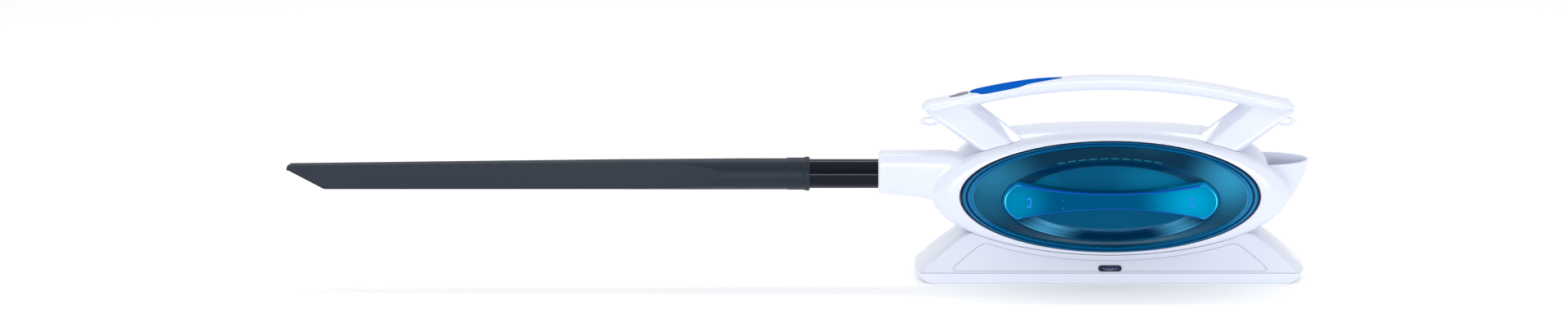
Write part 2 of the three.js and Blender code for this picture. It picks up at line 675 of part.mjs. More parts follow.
// A loft from front to back through copies of one outline, swelling at mid-depth.
function dockForm(outline, inset) {
  const shares = [0, 0.12, 0.35, 0.65, 0.88, 1];
  return loft(
    shares.map((share) => {
      const swell = 1 + (DOCK_BULGE / DOCK_HALF_WIDTH) * (1 - (2 * share - 1) ** 4);
      return outline.map(([x, z]) => {
        const front = dockFront(z) + inset;
        const rear = dockRear(z) - inset;
        return at(x * swell, front + share * (rear - front), z);
      });
    }),
  );
}
const bothSides = (right) => [...right, ...right.map(([x, z]) => [-x, z]).reverse()];
const SHELL_BOTTOM = DOCK_SEAM + GAP / 2;
const slopeHalfWidth = (z) => DOCK_HALF_WIDTH - (54 * (z - DOCK_SEAM)) / (DOCK_HEIGHT - DOCK_SEAM);
const shellOutline = (inset) =>
  bothSides([
    [slopeHalfWidth(SHELL_BOTTOM) - inset, SHELL_BOTTOM - inset],
    [slopeHalfWidth(28) - inset + 1.5, 28],
    [slopeHalfWidth(44) - inset + 1.5, 44],
    [slopeHalfWidth(DOCK_HEIGHT) - inset, DOCK_HEIGHT - inset],
    [60, DOCK_HEIGHT - inset],
  ]);
const trayOutline = (inset) =>
  bothSides([
    [DOCK_HALF_WIDTH - inset, DOCK_SEAM - GAP / 2 + 2 * inset],
    [DOCK_HALF_WIDTH - 1 - inset, 8],
    [DOCK_HALF_WIDTH - 5 - inset, 3.2 + inset / 2],
    [DOCK_HALF_WIDTH - 13 - inset, inset],
  ].reverse());

const DOCK_SCREWS = [
  [-186, -48],
  [186, -48],
  [-186, 42],
  [186, 42],
];
const DOCK_PADS = [
  [-196, -30],
  [196, -30],
  [-196, 26],
  [196, 26],
];
const BUTTON = { halfWidth: 13.7, halfHeight: 3.35, z: 18, travel: 2.5 };
const alongZ = (radius, x, y, z0, z1, segments = 10) => rod(radius, at(x, y, z0), at(x, y, z1), segments);
const stadium = (halfWidth, halfHeight, z) => {
  const shape = new THREE.Shape();
  shape.absarc(halfWidth - halfHeight, z, halfHeight, -Math.PI / 2, Math.PI / 2);
  shape.absarc(halfHeight - halfWidth, z, halfHeight, Math.PI / 2, (3 * Math.PI) / 2);
  return shape;
};

// The shallow panel on the dock's front: a trapezium with rounded corners.
function panelShape(grow) {
  const [low, high, wide, narrow, round] = [14.6 - grow, 47 + grow, 192 + 2.2 * grow, 152 + 2.2 * grow, 8];
  const shape = new THREE.Shape();
  shape.moveTo(-wide + round * 1.4, low);
  shape.lineTo(wide - round * 1.4, low);
  shape.quadraticCurveTo(wide, low, wide - round, low + round);
  shape.lineTo(narrow + round, high - round * 0.9);
  shape.quadraticCurveTo(narrow, high, narrow - round * 1.6, high);
  shape.lineTo(-narrow + round * 1.6, high);
  shape.quadraticCurveTo(-narrow, high, -narrow - round, high - round * 0.9);
  shape.lineTo(-wide + round, low + round);
  shape.quadraticCurveTo(-wide, low, -wide + round * 1.4, low);
  return shape;
}
// A thin slab parallel to the leaning front, from one depth behind it to another.
function frontSlab(from, to) {
  const corner = (x, z, depth) => at(x, dockFront(z) + depth, z);
  const lower = SHELL_BOTTOM;
  return loft([
    [corner(-240, lower, from), corner(240, lower, from), corner(240, lower, to), corner(-240, lower, to)],
    [corner(-240, 56, from), corner(240, 56, from), corner(240, 56, to), corner(-240, 56, to)],
  ]);
}
const panelPocket = plate(panelShape(0), -90, 0, 6).intersect(frontSlab(-4, 1.6));
const buttonHole = plate(stadium(BUTTON.halfWidth + GAP, BUTTON.halfHeight + GAP, BUTTON.z), -90, -50, 5);

function dockShell() {
  const outside = dockForm(shellOutline(0), 0);
  const inside = cut(dockForm(shellOutline(WALL), WALL), envelope(SADDLE_GAP + 2.5));
  const posts = DOCK_SCREWS.map(([x, y]) => alongZ(4, x, y, 14, 60).intersect(outside));
  const pilots = DOCK_SCREWS.map(([x, y]) => alongZ(1.7, x, y, 10, 25));
  const contactSlots = [-12, 12].map((x) => block(x - 3.3, x + 3.3, 1.7, 8.3, 20, 60));
  const jackHole = block(-6.3, 6.3, 40, 90, 15.7, 27.3);
  return cut(
    join(cut(outside, inside), ...posts),
    ...pilots,
    envelope(SADDLE_GAP),
    panelPocket,
    buttonHole,
    jackHole,
    ...contactSlots,
  );
}
add("dock_shell", dockShell(), whiteCasing);

function dockPanel() {
  const slab = plate(panelShape(-2 * GAP), -90, 0, 6).intersect(frontSlab(0.1, 1.6 - GAP));
  return cut(slab, envelope(SADDLE_GAP), buttonHole);
}
add("dock_front_panel", dockPanel(), whiteCasing);

function dockTray() {
  const outside = dockForm(trayOutline(0), 0);
  const inside = dockForm(trayOutline(WALL), WALL).intersect(block(-240, 240, -90, 90, WALL, DOCK_SEAM + 5));
  const bosses = DOCK_SCREWS.map(([x, y]) => alongZ(6, x, y, 1, DOCK_SEAM - GAP / 2));
  const holes = DOCK_SCREWS.map(([x, y]) => alongZ(1.8, x, y, -1, 20));
  const heads = DOCK_SCREWS.map(([x, y]) => alongZ(3.4, x, y, -1, 3.2));
  const pads = DOCK_PADS.map(([x, y]) => alongZ(8.3, x, y, -1, 1.8));
  return cut(join(cut(outside, inside), ...bosses), ...holes, ...heads, ...pads);
}
add("dock_tray", dockTray(), whiteCasing);
DOCK_PADS.forEach(([x, y], i) => add(`dock_pad_${i + 1}`, alongZ(8, x, y, 0, 1.5), rubber));
DOCK_SCREWS.forEach(([x, y], i) => {
  add(`dock_screw_${i + 1}`, join(alongZ(3, x, y, 0.6, 2.9), alongZ(1.5, x, y, 2.5, 22)), steel);
});

function dockButton() {
  const cap = plate(stadium(BUTTON.halfWidth, BUTTON.halfHeight, BUTTON.z), -66.6, -59.5, 5);
  const flange = plate(stadium(BUTTON.halfWidth + 2, BUTTON.halfHeight + 1, BUTTON.z), -59.5, -58, 5);
  return join(cap, flange);
}
add("dock_button", dockButton(), darkLens);
add("charge_board", block(-40, 40, -35, 35, 9, 10.6), boardGreen);
[-12, 12].forEach((x, i) =>
  add(`charge_contact_${i + 1}`, block(x - 3, x + 3, 2, 8, 10.9, 29.2), steel),
);
add("charge_jack", block(-6, 6, 44, 57.4, 16, 27), darkPlastic);

export default root;
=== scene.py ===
"""A white handheld vacuum cleaner with a see-through teal dust cover, a crevice tool and a dock."""
import json
import math

import bmesh
import bpy
import numpy as np
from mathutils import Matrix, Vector


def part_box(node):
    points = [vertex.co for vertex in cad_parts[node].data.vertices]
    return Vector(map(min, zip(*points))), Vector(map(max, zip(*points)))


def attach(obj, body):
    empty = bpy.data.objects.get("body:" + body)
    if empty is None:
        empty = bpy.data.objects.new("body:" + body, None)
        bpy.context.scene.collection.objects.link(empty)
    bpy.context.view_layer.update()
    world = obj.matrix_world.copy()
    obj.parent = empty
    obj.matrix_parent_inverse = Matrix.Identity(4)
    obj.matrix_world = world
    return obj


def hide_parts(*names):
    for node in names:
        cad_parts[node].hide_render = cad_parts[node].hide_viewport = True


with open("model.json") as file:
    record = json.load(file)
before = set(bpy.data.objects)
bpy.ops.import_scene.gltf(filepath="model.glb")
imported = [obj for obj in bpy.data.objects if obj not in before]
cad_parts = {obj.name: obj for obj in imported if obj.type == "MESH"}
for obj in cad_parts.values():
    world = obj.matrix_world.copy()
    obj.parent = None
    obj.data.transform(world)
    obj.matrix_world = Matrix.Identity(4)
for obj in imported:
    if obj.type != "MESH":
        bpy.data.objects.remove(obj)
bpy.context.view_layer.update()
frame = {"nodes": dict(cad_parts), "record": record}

# ---- Camera ----
# A long lens looking down a little, as a catalogue picture is taken.
scene = bpy.context.scene
LOOK_DOWN = math.radians(11)
FRAME_WIDTH = 1.862
aim = Vector((-0.3867, -0.030, 0.1378))
lens = bpy.data.cameras.new("camera")
lens.lens = 260
lens.dof.use_dof = False
camera_distance = FRAME_WIDTH * lens.lens / lens.sensor_width
backwards = Vector((0, -math.cos(LOOK_DOWN), math.sin(LOOK_DOWN)))
camera = bpy.data.objects.new("camera", lens)
scene.collection.objects.link(camera)
camera.location = aim + backwards * camera_distance
camera.rotation_euler = (math.pi / 2 - LOOK_DOWN, 0, 0)
lens.clip_end = 60
scene.camera = camera
scene.view_settings.view_transform = "Standard"


# ---- White moulded ABS ----
# ABS injected into a polished mould: a hard, bright gloss with the faintest orange peel, and a cool
# white pigment. It is used for both casings, the handle, the spout and the dock.
def colour(hex_text):
    """An sRGB hex colour as linear red, green, blue and alpha."""
    parts = [int(hex_text[i : i + 2], 16) / 255 for i in (1, 3, 5)]
    return (*(p / 12.92 if p <= 0.04045 else ((p + 0.055) / 1.055) ** 2.4 for p in parts), 1)


def add_node(material, kind, settings=None, links=None):
    """Adds a shader node: settings name attributes or sockets, and links name what each socket takes."""
    made = material.node_tree.nodes.new(kind)
    for key, value in (settings or {}).items():
        if key in made.inputs:
            made.inputs[key].default_value = value
        else:
            setattr(made, key, value)
    for key, source in (links or {}).items():
        material.node_tree.links.new(source, made.inputs[key])
    return made


def new_material(name):
    material = bpy.data.materials.new(name)
    material.use_nodes = True
    material.node_tree.nodes.clear()
    return material


def finish_material(material, shader):
    add_node(material, "ShaderNodeOutputMaterial", links={"Surface": shader.outputs[0]})
    return material


def moulded_plastic(name, pale, deep, roughness, grain_mm, bump_mm, cloud_mm=60, spread=0.06, **sockets):
    """Plastic from a mould: two close shades in soft clouds, a grain in its gloss, and a fine bump."""
    material = new_material(name)
    place = add_node(material, "ShaderNodeTexCoord")
    clouds = add_node(
        material, "ShaderNodeTexNoise",
        {"Scale": 1000 / cloud_mm, "Detail": 3.0}, {"Vector": place.outputs["Object"]},
    )
    grain = add_node(
        material, "ShaderNodeTexNoise",
        {"Scale": 1000 / grain_mm, "Detail": 2.0}, {"Vector": place.outputs["Object"]},
    )
    shade = add_node(
        material, "ShaderNodeMix",
        {"data_type": "RGBA"}, {"Factor": clouds.outputs["Fac"]},
    )
    shade.inputs[6].default_value = colour(pale)
    shade.inputs[7].default_value = colour(deep)
    gloss = add_node(
        material, "ShaderNodeMapRange",
        {"To Min": roughness - spread, "To Max": roughness + spread}, {"Value": grain.outputs["Fac"]},
    )
    bump = add_node(
        material, "ShaderNodeBump",
        {"Strength": 1.0, "Distance": bump_mm * 0.001}, {"Height": grain.outputs["Fac"]},
    )
    shader = add_node(
        material, "ShaderNodeBsdfPrincipled", sockets,
        {"Base Color": shade.outputs[2], "Roughness": gloss.outputs[0], "Normal": bump.outputs[0]},
    )
    return finish_material(material, shader)


white_abs = moulded_plastic(
    "white_abs", "#dee3f0", "#dadfed", 0.2, grain_mm=1.6, bump_mm=0.004, spread=0.03,
    **{"IOR": 1.54, "Coat Weight": 0.35, "Coat Roughness": 0.06},
)


# ---- Body form ----
# Front and rear casing are one smooth oval drum, moulded in two halves. The outline grows from the
# dust cover's rim to a broad front ring, narrows to the motor's barrel and closes at the back.
MM = 0.001
OVAL = 2.66
WALL = 3.0
motor_low, motor_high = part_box("motor_can")
AXIS_Z = (motor_low.z + motor_high.z) / 2 / MM
SPLIT_Y = -6.0
BODY_STATIONS = [
    (-64, 183, 68.6, 2.0),
    (-63.2, 190, 70.0, 2.0),
    (-60, 201, 71.3, 2.0),
    (-55, 209, 72.0, 2.0),
    (-48, 212.5, 72.4, 2.0),
    (-42, 211, 72.4, 2.02),
    (-37, 206, 71.6, 2.06),
    (-31, 200, 71.2, 2.2),
    (-26, 197, 72.4, 2.4),
    (-20, 195, 73.4, 2.6),
    (-6, 193.5, 73.8, 2.9),
    (10, 193, 74, 3.0),
    (30, 189, 73.2, 3.0),
    (46, 177, 69.5, 2.8),
    (56, 160, 63, 2.6),
    (63, 141, 54.5, 2.3),
    (67, 118, 44, 2.2),
    (68, 96, 34, 2.2),
]


def flowing(stations, steps=5):
    """Points on a smooth curve through the stations."""
    knots = np.array(stations, float)
    knots = np.vstack([2 * knots[0] - knots[1], knots, 2 * knots[-1] - knots[-2]])
    points = []
    for a, b, c, d in zip(knots, knots[1:], knots[2:], knots[3:]):
        for s in np.arange(steps) / steps:
            points.append(
                b + 0.5 * s * (c - a + s * (2 * a - 5 * b + 4 * c - d + s * (3 * (b - c) + d - a)))
            )
    return np.array([*points, knots[-2]])


def oval(centre, across, up, power=2.0, count=160):
    """A ring of points round a superellipse, in mm: power 2 is an ellipse, and more squares it up."""
    turn = np.linspace(0, 2 * np.pi, count, endpoint=False)
    wide, high = np.cos(turn), np.sin(turn)
    wide = np.sign(wide) * np.abs(wide) ** (2 / power)
    high = np.sign(high) * np.abs(high) ** (2 / power)
    return np.array(centre) + np.outer(wide, across) + np.outer(high, up)


def skin(name, rings, closed=False, crease=40):
    """A mesh over a row of rings in mm, capped at its ends, or closed on itself as a turned ring is."""
    mesh = bpy.data.meshes.new(name)
    shape = bmesh.new()
    rows = [[shape.verts.new(Vector(p) * MM) for p in ring] for ring in rings]
    count = len(rows[0])
    pairs = list(zip(rows, rows[1:])) + ([(rows[-1], rows[0])] if closed else [])
    for first, second in pairs:
        for i in range(count):
            j = (i + 1) % count
            shape.faces.new((first[i], first[j], second[j], second[i]))
    if not closed:
        shape.faces.new(rows[0][::-1])
        shape.faces.new(rows[-1])
    bmesh.ops.remove_doubles(shape, verts=shape.verts, dist=1e-6)
    bmesh.ops.recalc_face_normals(shape, faces=shape.faces)
    if shape.calc_volume(signed=True) < 0:
        bmesh.ops.reverse_faces(shape, faces=shape.faces)
    shape.to_mesh(mesh)
    shape.free()
    piece = bpy.data.objects.new(name, mesh)
    scene.collection.objects.link(piece)
    smooth(piece, crease)
    return piece


def smooth(piece, crease=40):
    piece.data.polygons.foreach_set("use_smooth", [True] * len(piece.data.polygons))
    piece.data.set_sharp_from_angle(angle=math.radians(crease))


def settle(piece):
    """Applies a piece's modifiers to its mesh."""
    whole = piece.evaluated_get(bpy.context.evaluated_depsgraph_get())
    mesh = bpy.data.meshes.new_from_object(whole)
    piece.modifiers.clear()
    piece.data = mesh


def combine(piece, others, operation, crease=40):
    """Cuts, joins or intersects a closed piece with other closed pieces."""
    for other in others:
        step = piece.modifiers.new("combine", "BOOLEAN")
        step.operation = operation
        step.solver = "MANIFOLD"
        step.object = other
        settle(piece)
    smooth(piece, crease)
    return piece


def copy_of(piece, name):
    twin = bpy.data.objects.new(name, piece.data.copy())
    scene.collection.objects.link(twin)
    return twin


def scrap(*pieces):
    for piece in pieces:
        bpy.data.objects.remove(piece)


UNCUT = 99.0


def body_at(y):
    """The drum's station at any depth, read between the smooth points."""
    table = flowing(BODY_STATIONS)
    return [y, *(np.interp(y, table[:, 0], table[:, i]) for i in (1, 2, 3))]


def body_form(name, grow=0.0, start=-UNCUT, stop=UNCUT):
    """The drum between two depths, grown or shrunk all round."""
    flow = [row for row in flowing(BODY_STATIONS) if start < row[0] < stop]
    if start > -UNCUT:
        flow = [body_at(start), *flow]
    if stop < UNCUT:
        flow = [*flow, body_at(stop)]
    rings = [
        oval((0, y, AXIS_Z), (wide + grow, 0, 0), (0, 0, high + grow), power, 200)
        for y, wide, high, power in flow
    ]
    return skin(name, rings)


def turned(name, profile, stretch=1.0, count=192, crease=30):
    """A piece turned about the motor's axis from (radius, y) points, then stretched to an oval."""
    rings = [oval((0, y, AXIS_Z), (r * stretch, 0, 0), (0, 0, r), 2, count) for r, y in profile]
    return skin(name, rings, closed=True, crease=crease)


def slab(name, low, high):
    """A plain box in mm."""
    (x0, y0, z0), (x1, y1, z1) = low, high
    return skin(name, [[(x0, y0, z), (x1, y0, z), (x1, y1, z), (x0, y1, z)] for z in (z0, z1)])


def rod(name, start, end, radius, count=64):
    """A plain round bar in mm between two points, along one axis."""
    start, end = np.array(start, float), np.array(end, float)
    axis = (end - start) / np.linalg.norm(end - start)
    side = np.array((0, 0, 1.0)) if abs(axis[2]) < 0.5 else np.array((0, 1.0, 0))
    other = np.cross(axis, side)
    return skin(name, [oval(p, other * radius, side * radius, 2, count) for p in (start, end)])


def paint(piece, *materials):
    piece.data.materials.clear()
    for material in materials:
        piece.data.materials.append(material)
    return piece


def place(piece, body, slot, *nodes):
    """The piece rides on a body and stands for CAD nodes, which it hides. The slot is not used."""
    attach(piece, body)
    if nodes:
        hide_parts(*nodes)
    return piece


# ---- Casings and inlet neck ----
# The neck is part of the front casing's moulding, a rounded box that flows into the drum's side with
# a soft fillet. The two halves meet in a hairline joint just behind the front ring.
TUBE_Y, TUBE_Z, TUBE_R = -30.0, 125.6, 17.5
NECK_STATIONS = [
    (-275, 19.8, 106.4, 150.0),
    (-274.3, 21.8, 104.6, 151.6),
    (-272.5, 22.8, 103.6, 152.3),
    (-268, 23, 103.0, 152.5),
    (-240, 23, 100.6, 152.6),
    (-213, 23.5, 96.5, 152.8),
    (-190, 25, 90, 152.0),
    (-168, 26, 85, 146),
    (-150, 24, 85, 138),
]
neck = skin(
    "neck_form",
    [
        oval((x, TUBE_Y, (low + high) / 2), (0, deep, 0), (0, 0, (high - low) / 2), 4.6, 96)
        for x, deep, low, high in flowing(NECK_STATIONS)
    ],
)
# Two soft humps stand on the drum's top, behind the feet of the handle.
HUMP_X, HUMP_Y, HUMP_Z = 107, 14, 150
HUMP_LONG, HUMP_DEEP = 26, 24
humps = []
for side in (-1, 1):
    rings = []
    for turn in np.linspace(0.02, np.pi - 0.02, 24):
        share = math.sin(turn)
        centre = (side * HUMP_X - HUMP_LONG * math.cos(turn), HUMP_Y, HUMP_Z)
        rings.append(oval(centre, (0, HUMP_DEEP * share, 0), (0, 0, HUMP_LONG * share), 2, 48))
    humps.append(skin("hump", rings))
drum = body_form("drum")
combine(drum, [neck, *humps], "UNION")
grid = drum.modifiers.new("grid", "REMESH")
grid.mode = "VOXEL"
grid.voxel_size = 1.5 * MM
relax = drum.modifiers.new("relax", "SMOOTH")
relax.factor = 0.5
relax.iterations = 12
settle(drum)

BULKHEAD_FRONT, BULKHEAD_BACK = -12.0, -9.0
well = turned(
    "well",
    [(0, -75), (68.4, -75), (67.5, -64.4), (67.1, -63.2), (67.0, -61.5), (67.0, -46), (0, -46)],
    OVAL,
)
ledge_hole = turned("ledge_hole", [(0, -47), (61, -47), (61, -42), (0, -42)], OVAL)
chamber = body_form("chamber", -WALL, -43, BULKHEAD_FRONT)
motor_room = body_form("motor_room", -WALL, BULKHEAD_BACK, 64.5)
air_hole = turned("air_hole", [(0, -13), (20, -13), (20, -8), (0, -8)], 1, 64)
bore = rod("bore", (-276, TUBE_Y, TUBE_Z), (-235, TUBE_Y, TUBE_Z), TUBE_R + 0.35)
throat = rod("throat", (-236, TUBE_Y, TUBE_Z), (-140, TUBE_Y, TUBE_Z), 15.5)
front_side = slab("front_side", (-300, -90, -20), (300, SPLIT_Y - 0.15, 300))
rear_side = slab("rear_side", (-300, SPLIT_Y + 0.15, -20), (300, 90, 300))
window = slab("window", (150, -2, 72), (200, 22, 104))

rear = copy_of(drum, "rear_casing_skin")
front = copy_of(drum, "front_casing_skin")
combine(front, [front_side], "INTERSECT")
combine(front, [well, ledge_hole, chamber, motor_room, air_hole, bore, throat], "DIFFERENCE")
combine(rear, [rear_side], "INTERSECT")
combine(rear, [motor_room, window], "DIFFERENCE")
for x in (-128, 128):
    for dz in (-42, 42):
        screw_well = rod("screw_well", (x, 8, AXIS_Z + dz), (x, 75, AXIS_Z + dz), 3.4, 32)
        combine(rear, [screw_well], "DIFFERENCE")
        scrap(screw_well)
scrap(drum, neck, *humps, well, ledge_hole, chamber, motor_room, air_hole, bore, throat)
scrap(front_side, rear_side, window)
place(paint(front, white_abs), "housing", "white_casing", "front_casing")
place(paint(rear, white_abs), "housing", "white_casing", "rear_casing")


# ---- Exhaust spout ----
# A scoop moulded with a thin wall, snapped to the drum's right side. Blown air leaves through its
# upturned mouth, over a slotted grille.
SPOUT_X, SPOUT_Y = 168.0, 5.0
SPOUT_STATIONS = [
    (54, 4, 4),
    (59, 11, 9),
    (66, 25, 15),
    (79, 40.5, 21.5),
    (98, 55, 26.5),
    (120, 66, 29.4),
    (136, 70, 30),
    (144, 71.5, 30.4),
]


def spout_form(name, shrink, lift, top=0.0):
    stations = flowing(SPOUT_STATIONS, 7)
    if top:
        stations = np.vstack([stations, stations[-1] + (top, 0, 0)])
    rings = []
    for z, reach, deep in stations:
        reach, deep = max(reach - shrink, 1), max(deep - shrink, 1)
        rings.append(oval((SPOUT_X, SPOUT_Y, z + lift), (reach, 0, 0), (0, deep, 0), 2.1, 128))
    return skin(name, rings)


envelope = body_form("envelope", 0.3)
spout = spout_form("exhaust_spout_skin", 0, 0)
spout_inside = spout_form("spout_inside", 2.5, 2.5, top=6)
mouth = skin(
    "mouth",
    [[(120, -60, z - 4), (260, -60, z - 4), (260, 70, z + 9.9), (120, 70, z + 9.9)] for z in (134.0, 170)],
)
combine(spout, [spout_inside, envelope, mouth], "DIFFERENCE")
scrap(spout_inside, mouth)
place(paint(spout, white_abs), "housing", "white_casing", "exhaust_spout")


# ---- Handle ----
# Two half shells screwed together on a plane along the bar: an arched grip on two legs that splay
# out as they rise, and stand on the drum's shoulders.
HANDLE_Y = -16.0
BAR_TOP, BAR_DROP, BAR_SPAN = 241.0, 33.5, 217.0
BAR_HEIGHT, BAR_DEEP = 16.5, 16.0
BAR_END, RIGHT_SHORTER = 224.0, 4.5
STRAIGHT_FROM, END_SLOPE = 181, 0.2
RISE_FROM, END_RISE = 196, 4.6
TAPER_FROM, END_TAPER = 206, 0.3
CHAMFER_FROM, END_CHAMFER = 217, 6.6
SLIDE_X, SLIDE_TRAVEL = -175.5, 6.0
LEG_STATIONS = [
    ((-219, 200.5), (-166, 215), 15),
    ((-213, 194), (-157, 208.5), 19),
    ((-183, 173.5), (-131, 189), 24.5),
    ((-153, 153), (-105, 169), 30),
    ((-135, 139), (-88, 156), 31),
]


def bar_top(x):
    return BAR_TOP - BAR_DROP * (x / BAR_SPAN) ** 2


def bar_section(deep, high, inset):
    """The bar's outline: a flat top with crisp edges and a rounded underside."""
    deep, high = deep - inset, high - inset
    points = []
    for turn in np.linspace(0, 2 * np.pi, 96, endpoint=False):
        wide, tall = math.cos(turn), math.sin(turn)
        power = 8.0 if tall > 0 else 2.6
        wide = np.sign(wide) * abs(wide) ** (2 / power)
        tall = np.sign(tall) * abs(tall) ** (2 / power)
        points.append((wide * deep, tall * high))
    return points


def from_middle(x):
    """How far out a place on the bar is. The right end is a little shorter, so it counts as further."""
    return abs(x) + (RIGHT_SHORTER if x > 0 else 0)


def bar_edges(x):
    """The heights of the bar's top and underside: arched, then straight to a blunt, chamfered end."""
    past = from_middle(x)
    shorter = past - abs(x)
    top, low = bar_top(x), bar_top(x) - BAR_HEIGHT
    if past > STRAIGHT_FROM:
        top = bar_top(STRAIGHT_FROM - shorter) - END_SLOPE * (past - STRAIGHT_FROM)
    if past > CHAMFER_FROM:
        top -= END_CHAMFER * ((past - CHAMFER_FROM) / (BAR_END - CHAMFER_FROM)) ** 1.6
    if past > RISE_FROM:
        rise = END_RISE * (past - RISE_FROM) / (BAR_END - RISE_FROM)
        low = bar_top(RISE_FROM - shorter) - BAR_HEIGHT + rise
    return top, low


def bar_form(name, inset=0.0):
    rings = []
    right = BAR_END - RIGHT_SHORTER
    for x in [*np.linspace(-BAR_END, -196, 20), *np.linspace(-192, 188, 90), *np.linspace(192, right, 20)]:
        if from_middle(x) > BAR_END - 3 * inset:
            continue
        top, low = bar_edges(x)
        taper = max(0.0, (from_middle(x) - TAPER_FROM) / (BAR_END - TAPER_FROM)) ** 2
        section = bar_section(BAR_DEEP * (1 - END_TAPER * taper), (top - low) / 2, inset)
        rings.append([(x, HANDLE_Y + y, (top + low) / 2 + z) for y, z in section])
    return skin(name, rings)


OUTER_BEVEL, INNER_BEVEL = (5.5, 6.0), (13.0, 20.0)


def leg_form(name, side, inset=0.0):
    """A leg: a flat face, a narrow bevel down its outer edge and a broad one down its inner edge."""
    rings = []
    for row in flowing([(*outer, *inner, deep) for outer, inner, deep in LEG_STATIONS], 6):
        outer, inner = np.array((-side * row[0], 0, row[1])), np.array((-side * row[2], 0, row[3]))
        width = np.linalg.norm(inner - outer)
        across = (inner - outer) / width
        deep = row[4] - inset
        (out_wide, out_deep), (in_wide, in_deep) = OUTER_BEVEL, INNER_BEVEL
        in_deep = min(in_deep, deep * 0.8)
        near, far = inset, width - inset
        corners = [
            (near, -deep + out_deep), (near + out_wide, -deep),
            (far - in_wide, -deep), (far, -deep + in_deep),
            (far, deep - in_deep), (far - in_wide, deep),
            (near + out_wide, deep), (near, deep - out_deep),
        ]
        ring = []
        for (u0, y0), (u1, y1) in zip(corners, corners[1:] + corners[:1]):
            for s in np.linspace(0, 1, 6, endpoint=False):
                ring.append(outer + across * (u0 + s * (u1 - u0)) + (0, HANDLE_Y + y0 + s * (y1 - y0), 0))
        rings.append(ring)
    return skin(name, rings)


handle = bar_form("handle")
legs = [leg_form("leg", side) for side in (-1, 1)]
combine(handle, legs, "UNION")
grid = handle.modifiers.new("grid", "REMESH")
grid.mode = "VOXEL"
grid.voxel_size = 1.1 * MM
relax = handle.modifiers.new("relax", "SMOOTH")
relax.factor = 0.5
relax.iterations = 4
settle(handle)

switch_slope = -math.atan(2 * BAR_DROP * SLIDE_X / BAR_SPAN**2)
along = np.array((math.cos(switch_slope), 0, math.sin(switch_slope)))
above = np.array((-math.sin(switch_slope), 0, math.cos(switch_slope)))


def on_bar(start, end, half, low, high, name, power=5.0, count=48):
    """A rounded block lying along the bar's top at the switch, in mm from it."""
    origin = np.array((SLIDE_X, HANDLE_Y, bar_top(SLIDE_X)))
    middle = origin + along * (start + end) / 2
    reach = along * (end - start) / 2
    return skin(name, [oval(middle + above * h, reach, (0, half, 0), power, count) for h in (low, high)])


INLAY_STATIONS = [
    (-166, 2.5), (-162, 7.5), (-152, 11.2), (-130, 11.8),
    (-105, 10.8), (-80, 7.6), (-64, 3.2), (-57, 1.0),
]


def inlay_form(name, grow, sink, rise):
    """A leaf-shaped strip that follows the bar's top and turns over its front edge."""
    rings = []
    for x, half in flowing(INLAY_STATIONS, 6):
        share = half / 11.8
        lap = min(max((share - 0.75) / 0.25, 0.0), 1.0)
        ys = np.linspace(max(0.4 - BAR_DEEP, -16.5 * share - grow), 15.0 * share + grow, 24)
        tops = BAR_HEIGHT / 2 * (1 - (np.abs(ys) / BAR_DEEP) ** 8) ** 0.125
        skin_line = [(ys[0] - 0.4 * lap - 0.02, tops[0] - 1.6 * lap - 0.05 - grow), *zip(ys, tops)]
        outer = [(y - (rise * lap if i < 3 else 0), z + rise) for i, (y, z) in enumerate(skin_line)]
        inner = [(y + sink, z - sink) for y, z in skin_line]
        middle = bar_top(x) - BAR_HEIGHT / 2
        rings.append([(x, HANDLE_Y + y, middle + z) for y, z in outer + inner[::-1]])
    return skin(name, rings)


hollow = bar_form("hollow", 2.6)
hollow_legs = [leg_form("hollow_leg", side, 2.6) for side in (-1, 1)]
slot_cutter = on_bar(-9 - SLIDE_TRAVEL, 8, 6.5, -6, 6, "slot_cutter")
pocket = inlay_form("pocket", 0.3, 1.6, 3)
combine(handle, [hollow, *hollow_legs, slot_cutter, pocket, envelope], "DIFFERENCE")
for name, y0, y1, node in (
    ("handle_front_skin", -90, HANDLE_Y - 0.12, "handle_front_shell"),
    ("handle_rear_skin", HANDLE_Y + 0.12, 60, "handle_rear_shell"),
):
    half = copy_of(handle, name)
    side = slab("side", (-300, y0, 100), (300, y1, 300))
    combine(half, [side], "INTERSECT")
    scrap(side)
    place(paint(half, white_abs), "housing", "white_casing", node)
scrap(handle, hollow, slot_cutter, pocket, envelope, *legs, *hollow_legs)

# ---- Inlay ----
# A strip of blue PMMA, polished and glued into its pocket on the bar's top left.
blue_pmma = moulded_plastic(
    "blue_pmma", "#0c60c4", "#0a52ac", 0.4, grain_mm=0.8, bump_mm=0.0, spread=0.02,
    **{"IOR": 1.49, "Specular IOR Level": 0.0},
)
inlay = inlay_form("handle_inlay_skin", 0, 1.3, 0.45)
place(paint(inlay, blue_pmma), "housing", "blue_inlay", "handle_inlay")

# ---- Power slider ----
# A grey satin button with four ribs for the thumb. It slides along the bar in its slot.
satin_grey = moulded_plastic(
    "satin_grey_abs", "#888d95", "#7a7f88", 0.45, grain_mm=0.5, bump_mm=0.01, spread=0.05, **{"IOR": 1.53},
)
slider = on_bar(-8, 7, 6, -2, 1.0, "power_slider_skin")
stem = on_bar(-2.5, 2.5, 3, -4.6, -1, "stem")
ribs = [on_bar(p, p + 1.1, 5, 0.6, 1.7, "rib", 3, 24) for p in (-5, -2.5, 0, 2.5)]
combine(slider, [stem, *ribs], "UNION")
scrap(stem, *ribs)
place(paint(slider, satin_grey), "switch", "grey_casing", "power_slider")

